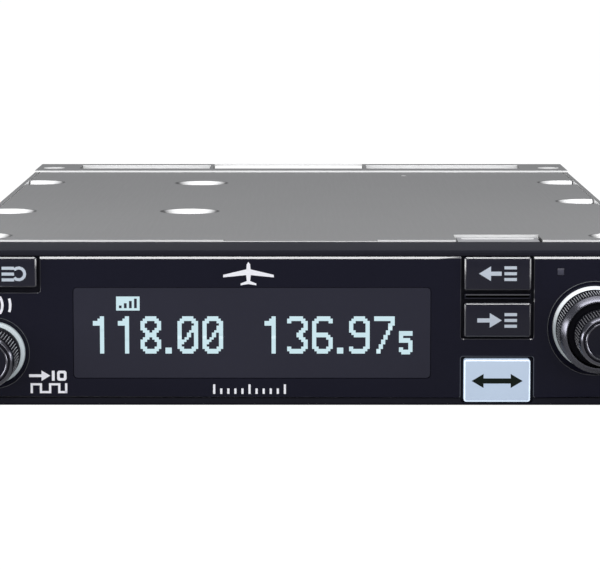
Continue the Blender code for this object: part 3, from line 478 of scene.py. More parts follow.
# %% Finish a piece
def add_piece(name, bm, finishes, body, slot, *stands_for, sharp=32.0):
    bmesh.ops.remove_doubles(bm, verts=bm.verts, dist=1e-4)
    bmesh.ops.recalc_face_normals(bm, faces=bm.faces)
    bmesh.ops.scale(bm, vec=(MM, MM, MM), verts=bm.verts)
    mesh = as_mesh(name, bm)
    for finish in finishes if isinstance(finishes, (list, tuple)) else [finishes]:
        mesh.materials.append(finish.material)
    mesh.shade_smooth()
    mesh.set_sharp_from_angle(angle=math.radians(sharp))
    for polygon in mesh.polygons:
        polygon.use_smooth = polygon.material_index == 0
    obj = placed(name, mesh)
    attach(obj, body)
    if stands_for:
        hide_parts(*stands_for)
    print(f"{name}: {len(mesh.polygons)} faces")
    return obj


def add_block(bm, low, high, bevel=0.0, segments=2):
    """A box between two corners, with all its edges bevelled if a bevel is given."""
    made = bmesh.ops.create_cube(bm, size=1.0)["verts"]
    size = [b - a for a, b in zip(low, high)]
    middle = [(a + b) / 2 for a, b in zip(low, high)]
    bmesh.ops.scale(bm, vec=size, verts=made)
    bmesh.ops.translate(bm, vec=middle, verts=made)
    if bevel:
        edges = list({edge for vert in made for edge in vert.link_edges})
        bmesh.ops.bevel(
            bm, geom=edges, offset=bevel, segments=segments, profile=0.5, affect="EDGES", material=-1
        )


def add_turned(bm, profile, centre, steps=64, closed=False):
    """A profile of (radius, reach) points spun round the Y axis through centre. reach grows towards the
    front. The ends of an open profile are closed where they meet the axis."""
    x, y, z = centre
    known = set(bm.faces)
    ring = [bm.verts.new((x + radius, y - reach, z)) for radius, reach in profile]
    edges = [bm.edges.new(pair) for pair in zip(ring, ring[1:])]
    if closed:
        edges.append(bm.edges.new((ring[-1], ring[0])))
    bmesh.ops.spin(
        bm, geom=[*ring, *edges], cent=centre, axis=(0, 1, 0), angle=math.tau, steps=steps, use_merge=True
    )
    return [face for face in bm.faces if face not in known]


FLANK_SHARE = 0.85  # the flank's vertices lie beyond this share of the widest radius


def knurl(faces, centre, low_reach, high_reach, ribs, depth):
    """Presses ribs into the outer flank between two reaches: a vertex moves in by a wave of its angle. The
    faces on the crests get material slot 1, which carries their painted highlight."""
    x, y, z = centre
    verts = {vert for face in faces for vert in face.verts}

    def polar(point):
        return math.hypot(point.x - x, point.z - z), math.atan2(point.z - z, point.x - x)

    widest = max(polar(vert.co)[0] for vert in verts)

    def on_flank(point, room=0.0):
        in_reach = low_reach - room <= y - point.y <= high_reach + room
        return in_reach and polar(point)[0] > widest * FLANK_SHARE

    for vert in verts:
        if on_flank(vert.co, 1e-4):
            radius, angle = polar(vert.co)
            scale = 1 - depth * (0.5 - 0.5 * math.cos(angle * ribs)) ** 0.6 / radius
            vert.co.x, vert.co.z = x + (vert.co.x - x) * scale, z + (vert.co.z - z) * scale
    for face in faces:
        middle = face.calc_center_median()
        if on_flank(middle) and math.cos(polar(middle)[1] * ribs) > 0.5:
            face.material_index = 1


# %% [markdown]
# A flat part with holes is easiest as a 2D curve: every outline is one spline, and Blender fills between them
# and gives the sheet its thickness. The curve is made a mesh at once, so that it can be bevelled and placed.

# %% Outlines and flat parts
def rounded(left, right, low, high, radius=0.0, points=6):
    """The outline of a rectangle with round corners."""
    if not radius:
        return [(left, low), (right, low), (right, high), (left, high)]
    outline = []
    for x, z, start in (
        (right - radius, low + radius, -90), (right - radius, high - radius, 0),
        (left + radius, high - radius, 90), (left + radius, low + radius, 180),
    ):
        for k in range(points + 1):
            angle = math.radians(start + 90 * k / points)
            outline.append((x + radius * math.cos(angle), z + radius * math.sin(angle)))
    return outline


def round_hole(x, z, radius, points=64):
    return [
        (x + radius * math.cos(math.tau * k / points), z + radius * math.sin(math.tau * k / points))
        for k in range(points)
    ]


def add_flat(bm, outlines, front, back):
    """The area between outlines, from the plane y = front to y = back, facing the front."""
    curve = bpy.data.curves.new("outline", "CURVE")
    curve.dimensions, curve.fill_mode = "2D", "BOTH"
    curve.extrude = (back - front) / 2
    for outline in outlines:
        spline = curve.splines.new("POLY")
        spline.points.add(len(outline) - 1)
        for point, (x, z) in zip(spline.points, outline):
            point.co = (x, z, 0.0, 1.0)
        spline.use_cyclic_u = True
    holder = bpy.data.objects.new("outline", curve)
    bpy.context.scene.collection.objects.link(holder)
    mesh = bpy.data.meshes.new_from_object(holder.evaluated_get(bpy.context.evaluated_depsgraph_get()))
    bpy.data.objects.remove(holder)
    mesh.transform(Matrix.Translation((0, (front + back) / 2, 0)) @ Matrix.Rotation(math.pi / 2, 4, "X"))
    known = set(bm.verts)
    bm.from_mesh(mesh)
    bpy.data.meshes.remove(mesh)
    made = [vert for vert in bm.verts if vert not in known]
    bmesh.ops.remove_doubles(bm, verts=made, dist=1e-4)
    return [vert for vert in bm.verts if vert not in known]


def is_sharp(edge):
    return edge.calc_face_angle(0) > 1.0


def in_plane(edge, y):
    return all(abs(vert.co.y - y) < 1e-3 for vert in edge.verts)


def bevel_edges(bm, chosen, offset, segments=1, finish=-1):
    """Bevels the edges that chosen picks. finish is the material slot of the new faces."""
    edges = [edge for edge in bm.edges if edge.is_manifold and chosen(edge)]
    bmesh.ops.bevel(
        bm, geom=edges, offset=offset, segments=segments, profile=0.5, affect="EDGES", material=finish
    )


# %% [markdown]
# ## The faceplate
# The faceplate is one hard gloss moulding let into the bezel. Its outer edge has a flat chamfer, which mirrors
# the soft box overhead as one white line, and its openings have only a broken edge. Both take a lighter,
# glossier copy of the moulding's finish, which adds a painted highlight to the mirrored line. The openings are
# read from the nodes that stand in them.

# %% Faceplate
KEYS = ("function", "recall", "memory", "swap")
SIDE_ROOM = 0.7  # between a key and the side of its recess
VOLUME_RECESS, TUNING_RECESS = 7.7, 10.2  # radii of the openings round the knobs


def is_rim(edge, outer):
    """True for the faceplate's front edges: those of its outer side, or those of its recesses."""
    if not (in_plane(edge, FACE) and is_sharp(edge)):
        return False
    middle = (edge.verts[0].co + edge.verts[1].co) / 2
    for low, high in (box_mm("display_lens"), box_mm("sensor_window")):
        if low.x - 0.5 < middle.x < high.x + 0.5 and low.z - 0.5 < middle.z < high.z + 0.5:
            return False
    inside = (
        face_low.x + 1.0 < middle.x < face_high.x - 1.0 and face_low.z + 0.3 < middle.z < face_high.z - 0.3
    )
    return inside != outer


function_low, function_high = box_mm("function_key")
recall_low, recall_high = box_mm("recall_key")
memory_low, memory_high = box_mm("memory_key")
swap_low, swap_high = box_mm("swap_key")
lens_low, lens_high = box_mm("display_lens")
volume_ring_low, volume_ring_high = box_mm("volume_light_ring")
tuning_ring_low, tuning_ring_high = box_mm("tuning_light_ring")
volume_axis = (volume_ring_low + volume_ring_high) / 2
tuning_axis = (tuning_ring_low + tuning_ring_high) / 2
sensor = middle_mm("sensor_window")
lock = box_mm("lock_rod")[1] - Vector((1.8, 0, 1.8))

CORNER = 0.8
left, right, low, high = face_low.x, face_high.x, face_low.z, face_high.z
notches = [  # (left, right, bottom) of the recesses that are open at the top
    (function_low.x - SIDE_ROOM, function_high.x + SIDE_ROOM, function_low.z - 1.25),
    (memory_low.x - SIDE_ROOM, memory_high.x + SIDE_ROOM, memory_low.z - 0.5),
]
gap_left, gap_right = swap_low.x - SIDE_ROOM, swap_high.x + SIDE_ROOM
outline = rounded(left, right, low, high, CORNER, 4)
lower = [point for point in outline if point[1] < (low + high) / 2]
upper = [point for point in outline if point[1] > (low + high) / 2]
RECESS_CORNER = 0.5
swap_top = swap_high.z + 0.6


def notch_corners(x0, x1, z, top, radius):
    """The points down, across and up a recess with round lower corners, from its right to its left."""
    arc = [math.radians(90 * k / 4) for k in range(5)]
    right_arc = [(x1 - radius + radius * math.cos(a), z + radius - radius * math.sin(a)) for a in arc]
    left_arc = [(x0 + radius - radius * math.sin(a), z + radius - radius * math.cos(a)) for a in arc]
    return [(x1, top), *right_arc, *left_arc, (x0, top)]


left_bottom = [point for point in lower if point[0] < 0]
right_bottom = [point for point in lower if point[0] > 0]
right_top = [point for point in upper if point[0] > 0]
left_top = [point for point in upper if point[0] < 0]
hanging = notch_corners(gap_left, gap_right, low, swap_top, RECESS_CORNER)
swap_gap = [(x, low + swap_top - z) for x, z in reversed(hanging)]  # the same recess, open at the bottom
face_outline = [
    *left_bottom, *swap_gap, *right_bottom, *right_top, *notch_corners(*notches[1], high, RECESS_CORNER),
    *notch_corners(*notches[0], high, RECESS_CORNER), *left_top,
]
bm = bmesh.new()
add_flat(
    bm,
    [
        face_outline,
        rounded(lens_low.x - 0.1, lens_high.x + 0.1, lens_low.z - 0.1, lens_high.z + 0.1, 0.9),
        round_hole(volume_axis.x, volume_axis.z, VOLUME_RECESS, 96),
        round_hole(tuning_axis.x, tuning_axis.z, TUNING_RECESS, 120),
        rounded(sensor.x - 0.8, sensor.x + 0.8, sensor.z - 0.8, sensor.z + 0.8),
        round_hole(lock.x, lock.z, 1.5, 32),
    ],
    FACE, face_high.y,
)
# The chamfers take slot 1, the lighter edge copy: a painted highlight.
bevel_edges(bm, lambda edge: is_rim(edge, True), 0.42, finish=1)
bevel_edges(bm, lambda edge: is_rim(edge, False), 0.16, finish=1)
add_piece(
    "faceplate_gloss_sheet", bm, [face_black, edge_highlight_gloss], "radio", "gloss_black", "faceplate", sharp=20
)


# %% [markdown]
# ## Keys
# A key cap is a hard moulding whose face is slightly crowned: its upper half leans back by a few degrees, so
# it mirrors the room, and its lower half mirrors the floor. A bar is bevelled and its face cut into strips,
# and each strip is set back along a circle. The flat facets' edges are then shaded smooth.

# %% Key caps
KEY_CHAMFER, KEY_CROWN = 0.3, 0.16


def key_cap(node, body, finish, edge, square_top):
    key_low, key_high = box_mm(node)
    bm = bmesh.new()
    corner = 0.5
    outline = rounded(key_low.x, key_high.x, key_low.z, key_high.z, corner, 4)
    if square_top:
        outline = [point for point in outline if point[1] < key_high.z - corner - 0.01]
        outline += [
            (key_high.x, key_high.z - 0.3), (key_high.x - 0.3, key_high.z),
            (key_low.x + 0.3, key_high.z), (key_low.x, key_high.z - 0.3),
        ]
        middle = ((key_low.x + key_high.x) / 2, (key_low.z + key_high.z) / 2)
        outline.sort(key=lambda point: math.atan2(point[1] - middle[1], point[0] - middle[0]))
    add_flat(bm, [outline], key_low.y, FACE + 2.3)
    # The chamfer takes the edge finish, a lighter copy of the cap's: a painted highlight along it.
    bevel_edges(bm, lambda edge: is_sharp(edge) and in_plane(edge, key_low.y), KEY_CHAMFER, finish=1)
    height = key_high.z - key_low.z
    for k in range(1, 12):
        z = key_low.z + height * k / 12
        bmesh.ops.bisect_plane(
            bm, geom=[*bm.verts, *bm.edges, *bm.faces], dist=1e-5, plane_co=(0, 0, z), plane_no=(0, 0, 1)
        )
    for vert in bm.verts:
        if vert.co.y < FACE + 1.0:
            across = (vert.co.z - key_low.z) / height * 2 - 1
            vert.co.y += KEY_CROWN * across * across
    stem = (key_high.x - key_low.x) / 2 - 3.5
    middle = (key_low + key_high) / 2
    add_block(
        bm, (middle.x - stem, FACE + 2.2, middle.z - 1.6), (middle.x + stem, key_high.y, middle.z + 1.6), 0.1
    )
    return add_piece(f"{body}_cap", bm, [finish, edge], body, "gloss_black", node, sharp=24)


for name in KEYS[:3]:
    key_cap(f"{name}_key", f"{name}_button", key_black, edge_highlight_gloss, True)
key_cap("swap_key", "swap_button", key_lit, swap_edge_highlight, False)

rib_low, rib_high = (recall_low.x, FACE - 0.3, 23.4), (recall_high.x, FACE + 0.6, 24.6)
bm = bmesh.new()
add_block(bm, rib_low, rib_high)
bevel_edges(bm, is_sharp, 0.28, 2)
add_piece("key_rib_cap", bm, key_black, "radio", "gloss_black")


# %% [markdown]
# ## Knobs
# A knob is turned about its axis, and every part of it is a profile that is spun: the ribbed grip, the dark
# metal trim pressed over its front edge, and the cap inside the trim with its bead. The ribs aren't modelled
# one by one. The spin has six steps to each rib, and a wave of the angle presses the grip's flank in. The
# crests take a light metallic finish: a painted highlight, for the overhead light that each crest mirrors.

# %% Knob parts
volume_centre = Vector((volume_axis.x, RIM, volume_axis.z))
tuning_centre = Vector((tuning_axis.x, RIM, tuning_axis.z))


def bore(node, room=0.1):
    """The radius and depth, in front of the rim, of the hole for a shaft."""
    low, high = box_mm(node)
    return (high.x - low.x) / 2 + room, RIM - low.y + room


def flank(back, front, back_radius, front_radius, rows=3):
    return [
        (back_radius + (front_radius - back_radius) * k / rows, back + (front - back) * k / rows)
        for k in range(rows + 1)
    ]


STEPS_PER_RIB = 6
KNOB_CENTRE = {"volume": volume_centre, "tuning_outer": tuning_centre, "tuning_inner": tuning_centre}


def turned_piece(name, profile, centre, finish, body, slot, nodes, steps, closed):
    bm = bmesh.new()
    add_turned(bm, profile, centre, steps, closed)
    add_piece(name, bm, finish, body, slot, *nodes)


def knob_piece(knob, part, finish, profile, steps=96, slot="nickel", closed=True):
    turned_piece(
        f"{knob}_{part}", profile, KNOB_CENTRE[knob], finish, f"{knob}_dial", slot, [f"{knob}_knob"],
        steps, closed,
    )


def dress(knob, narrower, further, bead):
    """The trim, the cap and the bead at a knob's front. The volume knob's profiles serve the inner tuning
    knob too, narrower and further forward."""

    def moved(profile):
        return [(radius - narrower if radius else 0, reach + further) for radius, reach in profile]

    knob_piece(
        knob, "trim", trim_metal,
        moved([(5.6, 13.7), (5.76, 13.85), (5.74, 14.05), (5.2, 14.95), (5.08, 15.02), (4.96, 15.02),
               (4.86, 14.9), (4.8, 13.7)]),
    )
    knob_piece(
        knob, "cap", cap_black,
        moved([(0, 13.8), (4.78, 13.8), (4.78, 14.7), (4.5, 14.7), (4.4, 14.78), (3.9, 14.75), (3.6, 14.7),
               (3.3, 14.66), (0, 14.62)]),
        slot="black_plastic", closed=False,
    )
    knob_piece(knob, "bead", trim_bright, bead)


def grip(knob, profile, ribs, pressed, depth=0.3, closed=False):
    bm = bmesh.new()
    faces = add_turned(bm, profile, KNOB_CENTRE[knob], ribs * STEPS_PER_RIB, closed)
    knurl(faces, KNOB_CENTRE[knob], *pressed, ribs, depth)
    add_piece(
        f"{knob}_grip", bm, [grip_black, crest_highlight], f"{knob}_dial", "black_plastic", f"{knob}_knob"
    )


hole, deep = bore("volume_shaft")
grip(
    "volume",
    [(0, deep), (hole, deep), (hole, 2.6), (5.0, 2.6), (5.0, 1.4), (5.85, 1.4), (5.95, 1.5), (5.95, 4.1),
     (5.92, 4.3), *flank(4.6, 13.6, 5.9, 5.84), (5.8, 13.7), (5.5, 13.8), (0, 13.8)],
    54, (4.5, 13.65),
)
dress("volume", 0.0, 0.0, [(4.46, 14.75), (4.44, 15.1), (4.34, 15.2), (4.2, 15.2), (4.08, 15.1), (4.02, 14.8)])

hole, deep = bore("tuning_sleeve", 0.05)
grip(
    "tuning_outer",
    [(hole, 10.3), (hole, 3.0), (7.4, 3.0), (7.4, 1.4), (8.5, 1.4), (8.6, 1.5), (8.6, 2.5), (8.55, 2.7),
     *flank(3.0, 10.3, 8.58, 8.52), (8.3, 10.6), (6.7, 10.9), (6.62, 10.9), (6.6, 10.8), (6.6, 10.3)],
    92, (2.9, 10.4), 0.26, True,
)
knob_piece(
    "tuning_outer", "trim", trim_satin,
    [(8.2, 10.4), (8.42, 10.6), (8.42, 10.8), (8.34, 10.95), (7.4, 12.2), (7.28, 12.3), (7.1, 12.3),
     (7.0, 12.18), (6.66, 10.6)], 128,
)
hole, deep = bore("tuning_shaft")
grip(
    "tuning_inner",
    [(0, deep), (hole, deep), (hole, 11.2), (5.5, 11.2), (5.6, 11.3), (5.6, 12.1), (5.55, 12.3),
     *flank(12.6, 21.2, 5.52, 5.46), (5.4, 21.35), (5.1, 21.4), (0, 21.4)],
    54, (12.5, 21.25),
)
dress(
    "tuning_inner", 0.4, 7.6,
    [(4.06, 22.35), (4.04, 22.7), (3.94, 22.8), (3.8, 22.8), (3.68, 22.7), (3.62, 22.35)],
)

# %% [markdown]
# The rings round the knobs' feet are translucent and lit from behind the panel. Each lies in a wide recess,
# on a black seat that slopes up to the faceplate.

# %% Light rings
for name, centre, outer, inner, recess, finish in (
    ("volume", volume_centre, 6.77, 4.7, VOLUME_RECESS, ring_ice),
    ("tuning", tuning_centre, 9.1, 6.2, TUNING_RECESS, ring_white),
):
    turned_piece(
        f"{name}_ring",
        [(inner, -1.15), (inner, 0.25), (inner + 0.12, 0.38), (outer - 0.3, 0.4), (outer - 0.1, 0.33),
         (outer, 0.15), (outer, -1.15)],
        centre, finish, "radio", "ice_plastic", [f"{name}_light_ring"], 128, True,
    )
    edge = recess - 0.1
    turned_piece(
        f"{name}_ring_seat",
        [(outer + 0.05, -1.15), (outer + 0.05, -0.35), (outer + 0.2, -0.25), (edge - 0.1, 0.1), (edge, 0.1),
         (edge, -1.15)],
        centre, face_black, "radio", "gloss_black", [], 128, True,
    )


# %% [markdown]
# ## Display
# The display is a dot matrix behind a smoked lens. A numeral is nine dots wide and sixteen high, and its
# dots are square, with a seam between them finer than the eye sees. So each run of lit dots is one thin block.

# %% Lens and sensor
bm = bmesh.new()
add_flat(bm, [rounded(lens_low.x, lens_high.x, lens_low.z, lens_high.z, 0.85)], lens_low.y, lens_high.y)
bevel_edges(bm, lambda edge: is_sharp(edge) and in_plane(edge, lens_low.y), 0.06)
add_piece("display_window", bm, lens_smoke, "radio", "smoked_clear", "display_lens", sharp=20)
sensor_low, sensor_high = box_mm("sensor_window")
bm = bmesh.new()
add_block(bm, sensor_low, sensor_high, 0.08)
add_piece("light_sensor", bm, sensor_smoke, "radio", "smoked_clear", "sensor_window")

# %% Numerals
NUMERALS = {
    "0": "..XXXXX../.XXXXXXX./XXX...XXX/XX.....XX/XX....XXX/XX....XXX/XX...XXXX/XX..XX.XX/"
         "XX..XX.XX/XX.XX..XX/XXXX...XX/XXX....XX/XX.....XX/XXX...XXX/.XXXXXXX./..XXXXX..",
    "1": "....XX.../...XXX.../.XXXXX.../.XXXXX.../" + "....XX.../" * 11 + "....XX...",
    "3": ".XXXXXX../XXXXXXXX./XX....XXX/.......XX/.......XX/......XXX/.....XXX./....XXX../"
         "....XXX../.....XXX./......XXX/.......XX/.......XX/XX....XXX/XXXXXXXX./.XXXXXX..",
    "5": "XXXXXX/XXXXXX/XX..../XXXXX./XXXXXX/....XX/....XX/XX..XX/XXXXXX/.XXXX.",
    "6": "..XXXXXX./.XXXXXXXX/XXX....XX/XX......./XX......./XX......./XX......./XXXXXXX../"
         "XXXXXXXX./XX....XXX/XX.....XX/XX.....XX/XX.....XX/XXX...XXX/.XXXXXXX./..XXXXX..",
    "7": "XXXXXXXXX/XXXXXXXXX/.......XX/......XXX/......XX./......XX./.....XX../.....XX../"
         "....XX.../....XX.../...XX..../...XX..../..XX...../..XX...../.XX....../.XX......",
    "8": "..XXXXX../.XXXXXXX./XXX...XXX/XX.....XX/XX.....XX/XXX...XXX/.XXX.XXX./..XXXXX../"
         "..XXXXX../.XXX.XXX./XXX...XXX/XX.....XX/XX.....XX/XXX...XXX/.XXXXXXX./..XXXXX..",
}
NUMERALS["9"] = "/".join(row[::-1] for row in reversed(NUMERALS["6"].split("/")))
DOT, SEAM = 0.51, 0.06
NUMERAL_STEP, POINT_STEP = 5.43, 2.61
PROUD = 0.02


def add_numeral(bm, rows, x, z):
    """Rows of dots, whose lower left corner is at x, z. X is a lit dot."""
    for up, row in enumerate(reversed(rows.split("/"))):
        for start, dots in runs(row):
            low = (x + start * DOT + SEAM, lens_low.y - PROUD, z + up * DOT)
            add_block(bm, low, (low[0] + dots * DOT - 2 * SEAM, lens_low.y + 0.02, low[2] + DOT))


def runs(row):
    """Where each run of X starts, and how long it is."""
    found, start = [], None
    for place, dot in enumerate(row + "."):
        if dot == "X" and start is None:
            start = place
        elif dot != "X" and start is not None:
            found.append((start, place - start))
            start = None
    return found


numeral_base = lens_low.z + 5.37
bm = bmesh.new()
for text, x in (("118.00", lens_low.x + 3.65), ("136.97", lens_low.x + 40.95)):
    for letter in text:
        if letter == ".":
            add_block(
                bm, (x + 0.03, lens_low.y - PROUD, numeral_base),
                (x + 1.4, lens_low.y + 0.02, numeral_base + 1.3),
            )
            x += POINT_STEP
        else:
            add_numeral(bm, NUMERALS[letter], x, numeral_base)
            x += NUMERAL_STEP
add_numeral(bm, NUMERALS["5"], x - 0.02, numeral_base - 0.17)
flag_x, flag_z = lens_low.x + 9.3, lens_low.z + 14.8
add_flat(
    bm,
    [
        rounded(flag_x, flag_x + 5.1, flag_z, flag_z + 3.06),
        *[rounded(flag_x + 0.6 + 1.1 * k, flag_x + 1.2 + 1.1 * k, flag_z + 0.5, flag_z + 1.1 + 0.5 * k)
          for k in range(4)],
    ],
    lens_low.y - PROUD, lens_low.y + 0.02,
)
add_piece("display_numerals", bm, digit_glow, "radio", "ice_plastic", sharp=20)


# %% [markdown]
# ## Printed symbols
# The panel's legends are pad printed. They are drawn here as plain symbols in the same weight: a loudspeaker,
# a push arrow with a test wave, overlapping pages, list arrows, and an aeroplane as the decoration on top.
# Each is a set of closed outlines, and the print stands a hundredth of a millimetre or two off the surface.

# %% Symbol shapes
def bar(x, z, width, height):
    return rounded(x, x + width, z, z + height)


def arrow(x, z, length, head, tall, shaft):
    """An arrow that starts at x and points right when length is positive. z is its middle."""
    way = 1 if length > 0 else -1
    neck = x + length - way * head
    return [
        (x, z - shaft / 2), (neck, z - shaft / 2), (neck, z - tall / 2), (x + length, z),
        (neck, z + tall / 2), (neck, z + shaft / 2), (x, z + shaft / 2),
    ]


def arc(x, z, radius, width, start, end, points=10):
    angles = [math.radians(start + (end - start) * k / points) for k in range(points + 1)]
    outer, inner = (
        [(x + reach * math.cos(a), z + reach * math.sin(a)) for a in angles]
        for reach in (radius + width / 2, radius - width / 2)
    )
    return outer + inner[::-1]


def add_print(name, shapes, surface, finish, body, slot="white_plastic"):
    """Each shape is one outline, or a list of outlines of which the later ones are holes."""
    bm = bmesh.new()
    for shape in shapes:
        outlines = shape if isinstance(shape[0], list) else [shape]
        add_flat(bm, outlines, surface - PROUD, surface + 0.02)
    return add_piece(name, bm, finish, body, slot, sharp=20)


# %% Panel symbols
right_x, base_z = volume_axis.x + 4.9, 20.5
speaker = [
    bar(right_x - 8.6, base_z + 0.95, 1.3, 1.2),
    [(right_x - 7.1, base_z + 0.9), (right_x - 5.3, base_z), (right_x - 5.3, base_z + 3.1),
     (right_x - 7.1, base_z + 2.2)],
    *[arc(right_x - 6.2, base_z + 1.55, 2.0 + 1.3 * k, 0.55, -34, 34) for k in range(3)],
]
speaker[-1] = arc(right_x - 6.2, base_z + 1.55, 5.0, 0.55, -17, 17)
test_x, test_z = volume_axis.x + 7.65, 2.75
push = [
    arrow(test_x, test_z + 3.85, 4.6, 1.9, 2.3, 0.62),
    bar(test_x + 4.95, test_z + 2.75, 0.62, 2.2),
    [rounded(test_x + 6.1, test_x + 8.15, test_z + 2.75, test_z + 4.95, 0.5),
     rounded(test_x + 6.68, test_x + 7.57, test_z + 3.33, test_z + 4.37, 0.2)],
]
wave = []
for k in range(4):
    x0 = test_x + 0.3 + 2.0 * k
    wave += [bar(x0, test_z, 0.5, 2.2), bar(x0 + 0.5, test_z + (1.72 if k % 2 == 0 else 0.0), 1.5, 0.48)]
wave.append(bar(test_x + 7.8, test_z, 0.5, 2.2))
plane_x, plane_z = lens_low.x + 38.05, lens_high.z + 0.5
half = [
    (0.0, 5.1), (0.38, 4.6), (0.45, 3.5), (5.5, 2.3), (5.5, 1.75), (0.5, 2.25), (0.36, 0.95), (1.7, 0.42),
    (1.7, 0.02), (0.0, 0.3),
]
plane = [(plane_x + x, plane_z + z) for x, z in half] + [
    (plane_x - x, plane_z + z) for x, z in reversed(half[1:-1])
]
scale = []
for k in range(11):
    tall = 2.1 if k % 5 == 0 else 1.2
    scale.append(bar(lens_low.x + 30.3 + 1.54 * k, 2.6, 0.48, tall))
add_print("panel_symbols", [*speaker, *push, *wave, plane, *scale], FACE, print_white, "radio")


# %% Key symbols
def listing(x, z):
    return [bar(x, z, 2.7, 0.66), bar(x, z + 1.27, 2.7, 0.66), bar(x, z + 2.54, 2.7, 0.66)]


def on_key(key, shapes, finish=print_grey):
    """The symbols are bent to the key's crown, row by row."""
    low, high = box_mm(f"{key}_key")
    piece = add_print(f"{key}_symbol", shapes, low.y, finish, f"{key}_button")
    for vert in piece.data.vertices:
        across = (vert.co.z / MM - low.z) / (high.z - low.z) * 2 - 1
        vert.co.y += KEY_CROWN * across * across * MM


x, z = recall_low.x + 3.1, recall_low.z + 2.05
on_key("recall", [*listing(x + 5.5, z), arrow(x + 4.9, z + 1.6, -4.9, 2.6, 3.2, 0.9)])
x, z = memory_low.x + 2.8, memory_low.z + 2.05
on_key("memory", [*listing(x + 5.9, z), arrow(x, z + 1.6, 5.3, 2.6, 3.2, 0.9)])
x, z = function_low.x + 2.9, function_low.z + 1.3
on_key(
    "function",
    [[rounded(x, x + 2.9, z, z + 3.3, 0.3), rounded(x + 0.65, x + 2.25, z + 0.65, z + 2.65, 0.1)],
     *listing(x + 4.0, z),
     arc(x + 5.9 + 1.8, z + 1.65, 1.3, 0.66, -140, 140)],
)
x, z = (swap_low.x + swap_high.x) / 2, (swap_low.z + swap_high.z) / 2
double = [(x - 5.55, z), (x - 2.95, z - 1.55), (x - 2.95, z - 0.57)]
double += [(2 * x - px, pz) for px, pz in reversed(double[1:])] + [(x + 5.55, z)]
double += [(x + 2.95, z + 1.55), (x + 2.95, z + 0.57), (x - 2.95, z + 0.57), (x - 2.95, z + 1.55)]
on_key("swap", [double], print_dark)


# %% [markdown]
# ## Screws
# The bezel's four screws are countersunk and the cover's two are pan heads, all with a cross recess. A head is
# spun, then a cross of four narrow walls is cut in by a boolean, which is applied at once.

# %% Screws
def cross_cut(bm, centre, out, width, reach, depth):
    """Takes a cross out of a head. out is the unit vector that the head looks along."""
    solid = bpy.data.meshes.new("head")
    bmesh.ops.remove_doubles(bm, verts=bm.verts, dist=1e-4)
    bmesh.ops.recalc_face_normals(bm, faces=bm.faces)
    bm.to_mesh(solid)
    tool_bm = bmesh.new()
    across = [axis for axis in range(3) if abs(out[axis]) < 0.5]
    for one, other in (across, across[::-1]):
        low, high = Vector(centre), Vector(centre)
        low[one] -= reach
        high[one] += reach
        low[other] -= width / 2
        high[other] += width / 2
        axis = 3 - one - other
        ends = sorted((centre[axis] - out[axis] * depth, centre[axis] + out[axis] * 1.0))
        low[axis], high[axis] = ends
        add_block(tool_bm, low, high)
    head, cutter = placed("head", solid), placed("cross", as_mesh("cross", tool_bm))
    cut = head.modifiers.new("cross", "BOOLEAN")
    cut.operation, cut.solver, cut.use_self, cut.object = "DIFFERENCE", "EXACT", True, cutter
    done = bpy.data.meshes.new_from_object(head.evaluated_get(bpy.context.evaluated_depsgraph_get()))
    bpy.data.objects.remove(head)
    bpy.data.objects.remove(cutter)
    bm.clear()
    bm.from_mesh(done)
    bpy.data.meshes.remove(done)


def add_screw(name, node, out, head_radius, head_height, shank_radius, countersunk, finish, body):
    low, high = box_mm(node)
    middle = (low + high) / 2
    axis = [k for k in range(3) if abs(out[k]) > 0.5][0]
    top, end = (high[axis], low[axis]) if out[axis] > 0 else (low[axis], high[axis])
    length = abs(top - end)
    bm = bmesh.new()
    if countersunk:
        profile = [(0, 0), (head_radius - 0.05, 0), (head_radius, -0.1), (shank_radius, -head_height)]
    else:
        profile = [
            (0, 0), (head_radius * 0.6, -0.05), (head_radius * 0.9, -0.3), (head_radius, -0.7),
            (head_radius, -head_height), (shank_radius, -head_height),
        ]
    profile += [(shank_radius, -length + 0.3), (shank_radius - 0.3, -length), (0, -length)]
    add_turned(bm, profile, (0, 0, 0), 32)
    turn = Vector((0, -1, 0)).rotation_difference(Vector(out)).to_matrix().to_4x4()
    place = middle.copy()
    place[axis] = top
    bmesh.ops.transform(bm, matrix=Matrix.Translation(place) @ turn, verts=bm.verts)
    cross_cut(bm, tuple(place), out, head_radius * 0.3, head_radius * 0.58, head_radius * 0.45)
    add_piece(name, bm, finish, body, "steel", node)


for side, out in (("left", (-1, 0, 0)), ("right", (1, 0, 0))):
    for level in ("lower", "upper"):
        add_screw(
            f"bezel_fastener_{side}_{level}", f"bezel_screw_{side}_{level}", out, 2.7, 1.5, 1.3, True,
            black_steel, "radio",
        )
    add_screw(
        f"cover_fastener_{side}", f"cover_screw_{side}", (0, 0, 1), 2.2, 1.5, 1.2, False, nickel, "radio"
    )


# %% [markdown]
# ## Rear connectors
# The aerial plugs into a threaded coaxial socket, and everything else into one fifty-way connector. The thread
# is a row of rings, because its pitch is too fine to tell from a helix. The contacts are rows of gold pins.

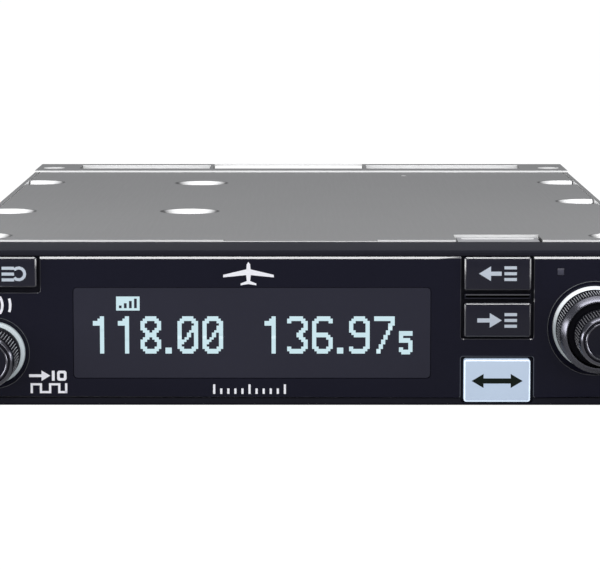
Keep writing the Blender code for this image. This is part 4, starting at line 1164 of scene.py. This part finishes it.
# %% Aerial socket
jack_low, jack_high = box_mm("antenna_jack")
jack = ((jack_low.x + jack_high.x) / 2, 0.0, (jack_low.z + jack_high.z) / 2)
profile = [(2.35, -jack_low.y), (4.0, -jack_low.y), (4.0, -jack_low.y - 3.5)]
start = jack_high.y - 12.2
profile += [(6.4, -start + 1.0), (6.8, -start + 0.7), (6.8, -start - 2.6), (6.4, -start - 3.0)]
thread_start, thread_end = start + 3.2, jack_high.y - 1.2
pitch = 0.9
count = int((thread_end - thread_start) / pitch)
for k in range(count):
    y = thread_start + k * pitch
    profile += [(4.45, -y), (4.85, -y - 0.3), (4.85, -y - 0.5), (4.45, -y - 0.8)]
profile += [(4.4, -jack_high.y + 0.3), (4.2, -jack_high.y), (3.6, -jack_high.y), (3.5, -jack_high.y + 0.2)]
profile += [(3.5, -start + 0.5), (2.35, -start + 0.5)]
bm = bmesh.new()
add_turned(bm, profile, jack, 72, True)
add_piece("aerial_socket", bm, nickel, "radio", "nickel", "antenna_jack")

insulator_low, insulator_high = box_mm("antenna_insulator")
y0, y1 = insulator_low.y, insulator_high.y
bm = bmesh.new()
add_turned(
    bm, [(0, -y0), (2.3, -y0), (2.3, -y1 + 0.3), (2.1, -y1), (0.75, -y1), (0.65, -y1 + 0.3), (0, -y1 + 0.4)],
    jack, 48,
)
add_piece("aerial_socket_insulator", bm, low_friction, "radio", "white_plastic", "antenna_insulator")

# %% Data connector insert and its pins
insert_low, insert_high = box_mm("data_connector_insert")
bm = bmesh.new()
slope = 0.9
profile = [
    (insert_low.x + slope, insert_low.z), (insert_high.x - slope, insert_low.z),
    (insert_high.x, insert_high.z), (insert_low.x, insert_high.z),
]
add_flat(bm, [profile], insert_low.y, insert_high.y - 0.4)
bevel_edges(bm, is_sharp, 0.25, 2)
add_piece("data_connector_body", bm, satin_black, "radio", "black_plastic", "data_connector_insert")
bm = bmesh.new()
middle = (insert_low + insert_high) / 2
for row, (rise, pins) in enumerate(((2.2, 13), (0.0, 12), (-2.2, 13))):
    for k in range(pins):
        x = middle.x + (k - (pins - 1) / 2) * 2.6
        add_turned(
            bm,
            [(0, -insert_high.y + 0.9), (0.5, -insert_high.y + 0.9), (0.5, -insert_high.y + 0.2),
             (0.38, -insert_high.y), (0, -insert_high.y)],
            (x, 0.0, middle.z + rise), 12,
        )
add_piece("data_connector_pins", bm, brass, "radio", "brass")


# %% [markdown]
# ## The frame's own meshes
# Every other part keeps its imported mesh. Its edges are shaded by angle: a mesh of loose triangles would
# otherwise show its facets on round parts, or melt at its corners. Normals are weighted by area, so that a wide
# flat face stays flat beside a small bevel. Only shading changes, not a single vertex.

# %% Smooth by angle
for node, obj in frame["nodes"].items():
    if obj.hide_render:
        continue
    weld = obj.modifiers.new("weld", "WELD")
    weld.merge_threshold = 1e-6
    obj.data.shade_smooth()
    smooth = obj.modifiers.new("crisp", "EDGE_SPLIT")
    smooth.split_angle = math.radians(32)
    level = obj.modifiers.new("level", "WEIGHTED_NORMAL")
    level.mode, level.weight, level.keep_sharp = "FACE_AREA", 100, True


# %% [markdown]
# The last cell prints the imported box and the finished box side by side.

# %% Sizes
low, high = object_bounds()
sizes = {"cad": [list(cad_low), list(cad_high)], "visual": [list(low), list(high)]}
print({name: [[round(value / MM, 2) for value in corner] for corner in box] for name, box in sizes.items()})
